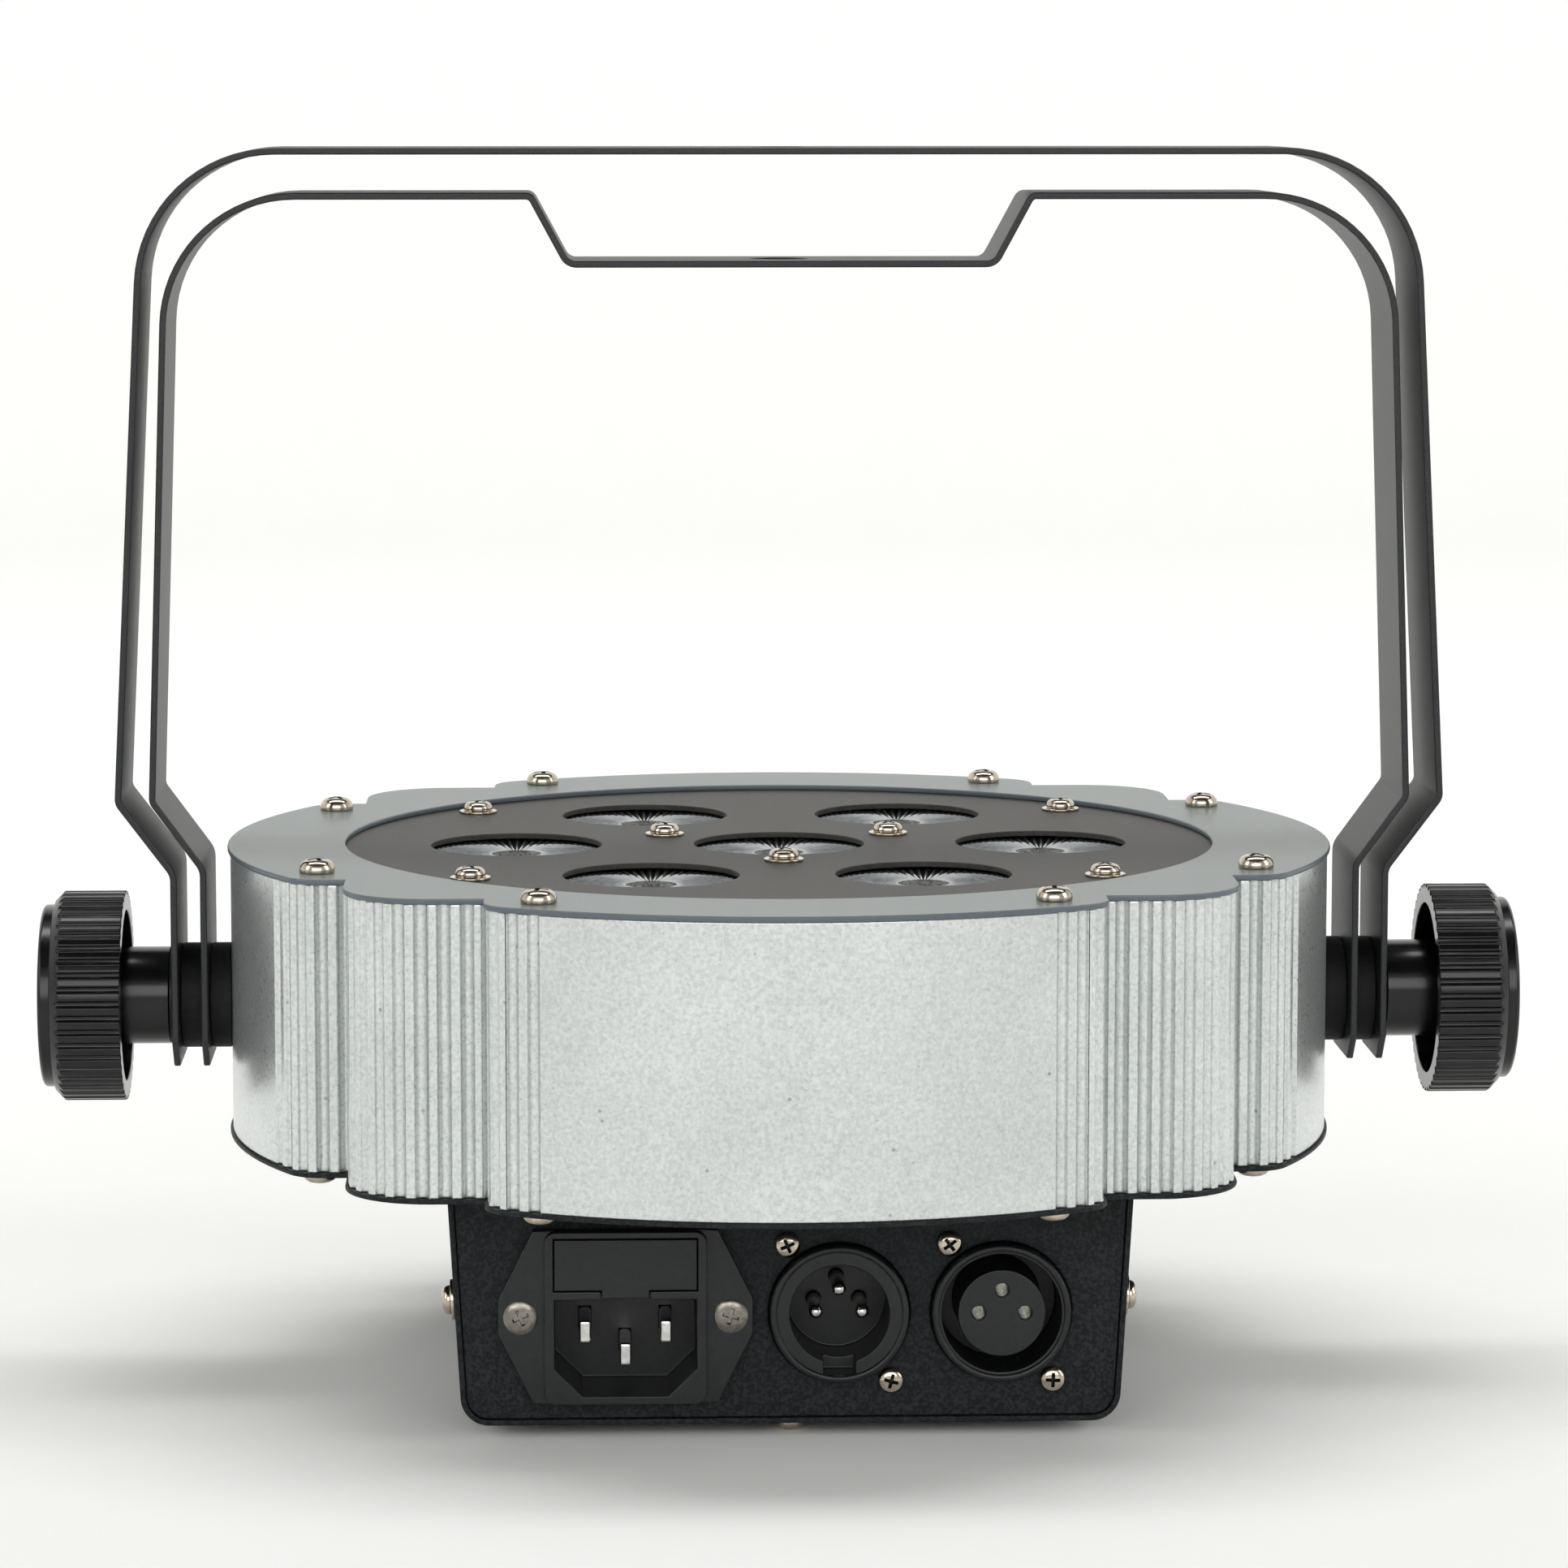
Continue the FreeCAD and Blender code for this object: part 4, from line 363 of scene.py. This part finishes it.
finish("mains_insulation", "blue_pvc_lead", "2b5fa8", "2756a0", 0.0, 0.4, 4.0, 0.004)
finish("low_voltage_insulation", "red_pvc_lead", "a8241f", "9c1f1b", 0.0, 0.4, 4.0, 0.004)
print("plastics ready")

# %% [markdown]
# ## Boards, glass and acrylic
# A circuit board is green where solder mask covers it, and the copper tracks under the mask show as a
# slightly lighter net. The lamp board is white, to throw stray light forward. The fuse is a clear tube and
# the lenses are acrylic, whose moulded flutes throw back the studio as silver lines.

# %% Boards and clear parts
for slot, name, mask, track, gap in (
    ("circuit_board", "green_solder_mask", "0f4a2a", "1d6a3d", 3.0),
    ("lamp_board", "white_solder_mask", "d9dbd8", "c3c6c2", 6.0),
):
    tree, shader, place, tint, grains = finish(slot, name, mask, mask, 0.0, 0.3, 0.6, 0.004)
    net = {"Vector": place, "Scale": 1 / (gap * MM)}
    tracks = add(tree, "TexVoronoi", net, distance="MANHATTAN", feature="F1")
    track_range = {"From Min": 0.3, "From Max": 0.34}
    track_share = add(tree, "MapRange", {"Value": tracks.outputs["Distance"], **track_range})
    pair = {"Color1": linear(mask), "Color2": linear(track)}
    mask_tint = add(tree, "MixRGB", {"Fac": track_share.outputs["Result"], **pair})
    tree.links.new(mask_tint.outputs["Color"], shader.inputs["Base Color"])
tree, shader, place, tint, grains = finish(
    "fuse_glass", "clear_glass_tube", "e8eeee", "dfe6e6", 0.0, 0.08, 3.0, 0.0
)
shader.inputs["Transmission Weight"].default_value = 0.8
shader.inputs["IOR"].default_value = 1.5
tree, shader, place, tint, grains = finish(
    "lens_acrylic", "fluted_acrylic", "8e9497", "757b7f", 0.95, 0.13, 2.4, 0.01
)
shader.inputs["Coat Weight"].default_value = 0.4
shader.inputs["Coat Roughness"].default_value = 0.06
print("finishes:", len(finishes))

# %% [markdown]
# ## Giving the CAD pieces their finish
# Each mechanical piece already has a slot name for its finish, so its slots are filled by name. A real edge
# is never sharp: a stamped, cast or moulded edge has a radius of a few tenths of a millimetre, and that
# radius is what catches the light. A bevel could be cut into each mesh, but the mechanical meshes must
# stay as they are, so the radius is a modifier. The triangles are welded and their flat neighbours joined
# first, or the bevel would leave scratches across flat faces.

# %% Slots and soft edges
EDGE = {
    "front_bezel": 0.32, "housing_ring": 0.3, "lens_plate": 0.2, "back_plate": 0.22, "rear_cover": 0.25,
    "connector_panel": 0.25, "control_panel": 0.25, "outer_bracket": 0.3, "inner_bracket": 0.3,
    "mains_inlet": 0.18, "fuse_drawer": 0.22, "signal_input": 0.22, "signal_output": 0.22,
    "hand_knob_left": 0.22, "hand_knob_right": 0.22, "friction_washers": 0.35, "inlet_pins": 0.5,
    "pressure_washer_left": 0.2, "pressure_washer_right": 0.2, "safety_eye": 0.3, "pivot_nuts": 0.25,
    "lens_plate_washers": 0.12, "cover_washers": 0.12, "cable_grommet": 0.3,
}
for n in range(1, 5):
    EDGE["menu_button_" + str(n)] = 0.4


SAME_POINT = 0.002 * MM
FLAT_ANGLE = math.radians(0.4)
HARD_ANGLE = math.radians(35)


def soften(piece, radius):
    """Rounds a piece's hard edges by a radius in mm."""
    weld = piece.modifiers.new("weld", "WELD")
    weld.merge_threshold = SAME_POINT
    join = piece.modifiers.new("join_flats", "DECIMATE")
    join.decimate_type = "DISSOLVE"
    join.angle_limit = FLAT_ANGLE
    edge = piece.modifiers.new("edge", "BEVEL")
    edge.width = radius * MM
    edge.segments = 3
    edge.limit_method = "ANGLE"
    edge.angle_limit = HARD_ANGLE
    edge.use_clamp_overlap = False
    shade = piece.modifiers.new("shade", "WEIGHTED_NORMAL")
    shade.keep_sharp = True


slot_of = {}
for name, piece in nodes.items():
    for place in piece.material_slots:
        slot_of[name] = place.material.name.split(".")[0]
        place.material = finishes[slot_of[name]]
for name, radius in EDGE.items():
    soften(nodes[name], radius)
print("pieces with a finish:", len(slot_of), "softened:", len(EDGE))

# %% [markdown]
# ## Screws with a real head
# The mechanical screws are plain turned shapes. The real ones are pan-head machine screws: a low dome with
# a cross recess, which breaks the highlight in two. One head is made at unit size, by turning a profile and
# cutting a cross from it, and is then stood on every screw that the mechanical model has. Each sits at its
# own turn, as a hand leaves it.

# %% One head, turned and cut
TURN = 40


def turned(profile, around=TURN, closed=True):
    """Points and faces of a profile of (radius, height) pairs turned about Z, with its two ends closed."""
    points, faces = [], []
    for radius, height in profile:
        for k in range(around):
            a = 2 * math.pi * k / around
            points.append((radius * math.cos(a), radius * math.sin(a), height))
    for i in range(len(profile) - 1):
        for k in range(around):
            here, ahead = i * around + k, i * around + (k + 1) % around
            faces.append((here, ahead, ahead + around, here + around))
    if closed:
        faces.append(tuple(reversed(range(around))))
        faces.append(tuple(range(len(points) - around, len(points))))
    return points, faces


def crossed_head(name, profile, arm, width, depth, top):
    """A turned head with a tapered cross sunk in its top, as a mesh."""
    head = new_object(name, mesh_from(name, *turned(profile)))
    head.data.materials.append(finishes["bright_screw"])
    cutter_mesh = bpy.data.meshes.new("cross_cutter")
    shape = bmesh.new()
    for quarter in (0, math.pi / 2):
        corners = []
        floor = (top - depth, arm * 0.62, width * 0.5)
        mouth = (top + 0.3, arm * 1.12, width * 1.1)
        for level, long, wide in (floor, mouth):
            for x, y in ((-long, -wide), (long, -wide), (long, wide), (-long, wide)):
                # The second bar sits a hair higher, so the two never share a face.
                spot = Matrix.Rotation(quarter, 3, "Z") @ Vector((x, y, level + 0.003 * quarter))
                corners.append(shape.verts.new(spot))
        for face in ((3, 2, 1, 0), (4, 5, 6, 7), (0, 1, 5, 4), (1, 2, 6, 5), (2, 3, 7, 6), (3, 0, 4, 7)):
            shape.faces.new([corners[i] for i in face])
    shape.to_mesh(cutter_mesh)
    shape.free()
    # The cutter hands its dark finish to the recess faces: painted shade over a duller unplated surface.
    cutter_mesh.materials.append(finishes["recess"])
    cutter = new_object("cross_cutter", cutter_mesh)
    cut = head.modifiers.new("cross", "BOOLEAN")
    cut.operation = "DIFFERENCE"
    cut.solver = "EXACT"
    cut.material_mode = "TRANSFER"
    cut.use_self = True
    cut.object = cutter
    bpy.context.view_layer.update()
    made = bpy.data.meshes.new_from_object(head.evaluated_get(bpy.context.evaluated_depsgraph_get()))
    for spare in (head, cutter):
        bpy.data.objects.remove(spare)
    made.name = name
    return made


PAN = [
    (0.42, 0.0), (0.96, 0.0), (1.0, 0.1), (0.99, 0.34), (0.93, 0.58),
    (0.82, 0.77), (0.64, 0.9), (0.42, 0.97), (0.2, 1.0), (0.02, 1.0),
]
SUNK = [(0.5, -0.55), (1.0, -0.02), (1.0, 0.03), (0.9, 0.09), (0.7, 0.15), (0.4, 0.18), (0.02, 0.19)]
pan_head = crossed_head("pan_head", PAN, 0.6, 0.15, 0.7, 1.0)
sunk_head = crossed_head("sunk_head", SUNK, 0.55, 0.13, 0.4, 0.19)
print("head faces:", len(pan_head.polygons), len(sunk_head.polygons))

# %% Where the screws are
def islands(node):
    """The separate solids of a node, each as an array of its points."""
    shape = bmesh.new()
    shape.from_mesh(nodes[node].data)
    bmesh.ops.remove_doubles(shape, verts=shape.verts, dist=SAME_POINT)
    found, seen = [], set()
    for start in shape.verts:
        if start in seen:
            continue
        group, edge_of = [], [start]
        seen.add(start)
        while edge_of:
            here = edge_of.pop()
            group.append(here.co[:])
            for link in here.link_edges:
                other = link.other_vert(here)
                if other not in seen:
                    seen.add(other)
                    edge_of.append(other)
        found.append(np.array(group))
    shape.free()
    return found


RIM_SHARE = 0.9


def screw_seats(node):
    """Per screw: point under the head, outward direction, head radius and height, shank radius and length."""
    seats = []
    for solid in islands(node):
        centre = solid.mean(axis=0)
        spread, ways = np.linalg.eigh(np.cov((solid - centre).T))
        # A turned piece spreads equally in two directions; its axis is the odd one out.
        direction = ways[:, 0] if spread[1] - spread[0] > spread[2] - spread[1] else ways[:, 2]
        along = (solid - centre) @ direction
        across = np.linalg.norm(solid - centre - np.outer(along, direction), axis=1)
        radius = across.max()
        rim = across > RIM_SHARE * radius
        if along[rim].mean() < (along.min() + along.max()) / 2:
            direction, along = -direction, -along
        under = along[rim].min()
        shank = across[along < along.min() + 0.01 * MM].max()
        point = Vector(centre + under * direction)
        height, length = along.max() - under, under - along.min()
        seats.append((point, Vector(direction), radius, height, shank, length))
    return seats


SCREWS = [
    "bezel_screws", "lens_plate_screws", "back_plate_screws", "inner_plate_screws",
    "cover_screws", "signal_screws", "inlet_screws",
]
# The inlet is held by raised countersunk screws: their cone is wider than a pan head.
SUNK_RADIUS = {"inlet_screws": 2.95}
for name in SCREWS:
    seats = screw_seats(name)
    points, faces, recess_faces = [], [], []
    sunk = name in SUNK_RADIUS
    for number, (point, direction, radius, height, shank, length) in enumerate(seats):
        head = sunk_head if sunk else pan_head
        radius = SUNK_RADIUS.get(name, radius / MM) * MM
        own_turn = Matrix.Rotation(0.9 * number + 0.4, 3, "Z")
        turn = direction.to_track_quat("Z", "Y").to_matrix() @ own_turn
        tall = radius if sunk else height
        start = len(points)
        shape_size = Vector((radius, radius, tall))
        points += [point + turn @ (v.co * shape_size) for v in head.vertices]
        recess_faces += [len(faces) + face.index for face in head.polygons if face.material_index == 1]
        faces += [tuple(start + i for i in face.vertices) for face in head.polygons]
        start = len(points)
        rod_points, rod_faces = turned([(shank * 0.9, -length), (shank, -length * 0.97), (shank, 0.0)], 24)
        points += [point + turn @ Vector(p) for p in rod_points]
        faces += [tuple(start + i for i in face) for face in rod_faces]
    mesh = mesh_from(name + "_cut", points, faces)
    mesh.set_sharp_from_angle(angle=math.radians(38))
    mesh.materials.append(finishes["dark_screw" if sunk else "bright_screw"])
    # The recess faces take the dark finish: painted shade in the cross, over a duller unplated surface.
    mesh.materials.append(finishes["recess"])
    for face in recess_faces:
        mesh.polygons[face].material_index = 1
    piece = new_object(name + "_cut", mesh)
    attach(piece, "lamp")
    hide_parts(name)
    print(name, len(seats), "heads, radius", round(seats[0][2] / MM, 2), "mm")

# %% [markdown]
# ## Pins and collars of the data sockets
# The three pins are turned brass, tin plated, with a round tip, so each shows one bright point on a darker
# rod. The collars have a rolled bead round the mouth. Both could be bevels on the mechanical shapes, but a
# round tip and a bead are turned forms, so they are turned here and set on the same axes.

# %% Pins and beads
FACING_FRONT = Matrix.Rotation(math.radians(90), 3, "X")
points, faces = [], []
for solid in islands("signal_input_pins"):
    low, high = solid.min(axis=0), solid.max(axis=0)
    radius, length = (high[0] - low[0]) / 2, high[1] - low[1]
    tip = [math.radians(a) for a in (0, 18, 36, 54, 70, 84)]
    profile = [(radius * 0.9, 0.0), (radius, 0.1 * MM)]
    profile += [(radius * math.cos(a), length - radius + radius * math.sin(a)) for a in tip]
    rod_points, rod_faces = turned(profile, 24)
    root = Vector(((low[0] + high[0]) / 2, high[1], (low[2] + high[2]) / 2))
    faces += [tuple(len(points) + i for i in face) for face in rod_faces]
    points += [root + FACING_FRONT @ Vector(p) for p in rod_points]
mesh = mesh_from("round_pins", points, faces)
mesh.set_sharp_from_angle(angle=math.radians(50))
mesh.materials.append(finishes["contact_metal"])
pins = new_object("round_pins", mesh)
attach(pins, "lamp")
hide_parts("signal_input_pins")

BEAD = [(12.02, -0.3), (12.05, 0.02), (11.9, 0.28), (11.5, 0.42), (11.1, 0.36), (10.85, 0.12), (10.8, -0.3)]
for name in ("signal_input", "signal_output"):
    low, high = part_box(name)
    seat = Vector(((low.x + high.x) / 2, low.y, (low.z + high.z) / 2))
    points, faces = turned([(r * MM, h * MM) for r, h in BEAD], 72, closed=False)
    mesh = mesh_from(name + "_bead", [seat + FACING_FRONT @ Vector(p) for p in points], faces)
    mesh.materials.append(finishes["socket_plastic"])
    bead = new_object(name + "_bead", mesh)
    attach(bead, "lamp")
print("pins and beads ready")

# %% [markdown]
# ## Fluted lenses
# Each lens is a clear cone with a nearly flat front. Radial flutes on the front spread the beam, and a small
# disc of tiny lenslets closes the middle. Modelled as clear plastic, the light would have to find its way
# through and back, which is slow and grainy. What the eye sees is silver lines that flash where they cross
# the view, so the front is a real fluted surface with a bright mirror finish.

# %% The lens fronts
FLUTES = 64
STEPS = 4
LENSLETS = 4.5
lens_rings = [0.0, 1.1, 2.2, 3.3, LENSLETS, LENSLETS + 0.25]
lens_rings += [6.4, 8.4, 10.4, 12.4, 14.2, 15.5, 16.2]
DISC_ROWS = 4
FLUTE_HEIGHT = 0.3
DISH = 0.2


def polar(centre, radius, a, height):
    """A point at a radius (mm) and an angle round a centre, at a height (mm)."""
    return Vector((centre.x / MM + radius * math.cos(a), centre.y / MM + radius * math.sin(a), height)) * MM


disc_tree, disc_shader, disc_place, disc_tint, disc_grains = finish(
    "lenslets", "lenslet_disc", "1a1c1e", "34383a", 0.3, 0.14, 1.0, 0.0
)
# The lenslets are 0.9 mm across; each is a small dome, so each keeps one bright point.
cells = add(disc_tree, "TexVoronoi", {"Vector": disc_place, "Scale": 1 / (0.9 * MM)})
dome = {"Height": cells.outputs["Distance"], "Distance": 0.5 * MM, "Strength": 1.0}
domes = add(disc_tree, "Bump", dome, invert=True)
disc_tree.links.new(domes.outputs["Normal"], disc_shader.inputs["Normal"])

for name in ["lens_centre"] + ["lens_outer_" + str(n) for n in range(1, 7)]:
    low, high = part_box(name)
    centre = (low + high) / 2
    reach = (high.x - low.x) / 2
    around = FLUTES * STEPS
    points, faces = [], []
    for radius in lens_rings:
        swing = FLUTE_HEIGHT * max(0.0, (radius - LENSLETS) / (lens_rings[-1] - LENSLETS)) ** 0.7
        fall = DISH * (1 - (radius / lens_rings[-1]) ** 2) + FLUTE_HEIGHT
        for k in range(around):
            a = 2 * math.pi * k / around
            height = high.z / MM - fall + swing * math.cos(FLUTES * a)
            points.append(polar(centre, radius, a, height))
    # The clear cone behind the front narrows to the emitter.
    edge, depth = reach / MM, (low.z - high.z) / MM
    for radius, height in ((edge, -0.5), (edge, -2.0), (edge * 0.45, depth)):
        for k in range(around):
            a = 2 * math.pi * k / around
            points.append(polar(centre, radius, a, high.z / MM + height))
    rows = len(lens_rings) + 3
    for i in range(rows - 1):
        for k in range(around):
            here, ahead = i * around + k, i * around + (k + 1) % around
            faces.append((here, here + around, ahead + around, ahead))
    faces.append(tuple(range((rows - 1) * around, rows * around)))
    mesh = mesh_from(name + "_fluted", points, faces)
    mesh.materials.append(finishes["lens_acrylic"])
    mesh.materials.append(finishes["lenslets"])
    for face in list(mesh.polygons)[: DISC_ROWS * around]:
        face.material_index = 1
    piece = new_object(name + "_fluted", mesh)
    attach(piece, "lamp")
    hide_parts(name)
print("lenses: 7, flutes each:", FLUTES)

# %% [markdown]
# ## The display behind its red filter
# The control side has a small window with four numerals of seven segments. Unlit, they show as paler bars
# under the filter. They could be a texture, but a few flat bars are simpler and stay sharp. Each bar is a
# long hexagon, and the numerals lean a little, as such displays do.

# %% Seven-segment numerals
DIGIT_TALL = 9.0
DIGIT_WIDE = 5.0
DIGIT_PITCH = 8.6
BAR = 1.0
BAR_GAP = 0.25
PROUD = 0.03
LEAN = math.tan(math.radians(8))
window_low, window_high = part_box("display_window")
window_middle = (window_low + window_high) / 2
display_middle = Vector((window_middle.x, window_high.y + PROUD * MM, window_middle.z))
half_tall, half_wide = DIGIT_TALL / 2 - BAR / 2, DIGIT_WIDE / 2 - BAR / 2
bars = [(0, half_tall, 0), (0, 0, 0), (0, -half_tall, 0)]
bars += [(side * half_wide, level * half_tall / 2, 1) for side in (-1, 1) for level in (-1, 1)]
points, faces = [], []
for digit in range(4):
    for across, up, upright in bars:
        length = (half_tall if upright else 2 * half_wide) - BAR_GAP
        end, side = length / 2, BAR / 2
        outline = [(-end, 0), (-end + side, side), (end - side, side)]
        outline += [(end, 0), (end - side, -side), (-end + side, -side)]
        start = len(points)
        for u, v in outline:
            if upright:
                u, v = v, u
            x, z = across + u, up + v
            x = -(x + z * LEAN) - (digit - 1.5) * DIGIT_PITCH
            points.append(Vector((x, 0, z)) * MM + display_middle)
        faces.append(tuple(start + i for i in range(6)))
finish("segments", "unlit_segment", "5a1f1f", "6a2626", 0.0, 0.3, 1.0, 0.0)
mesh = mesh_from("display_numerals", points, faces, smooth=False)
mesh.materials.append(finishes["segments"])
numerals = new_object("display_numerals", mesh)
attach(numerals, "lamp")
print("segments:", len(faces))
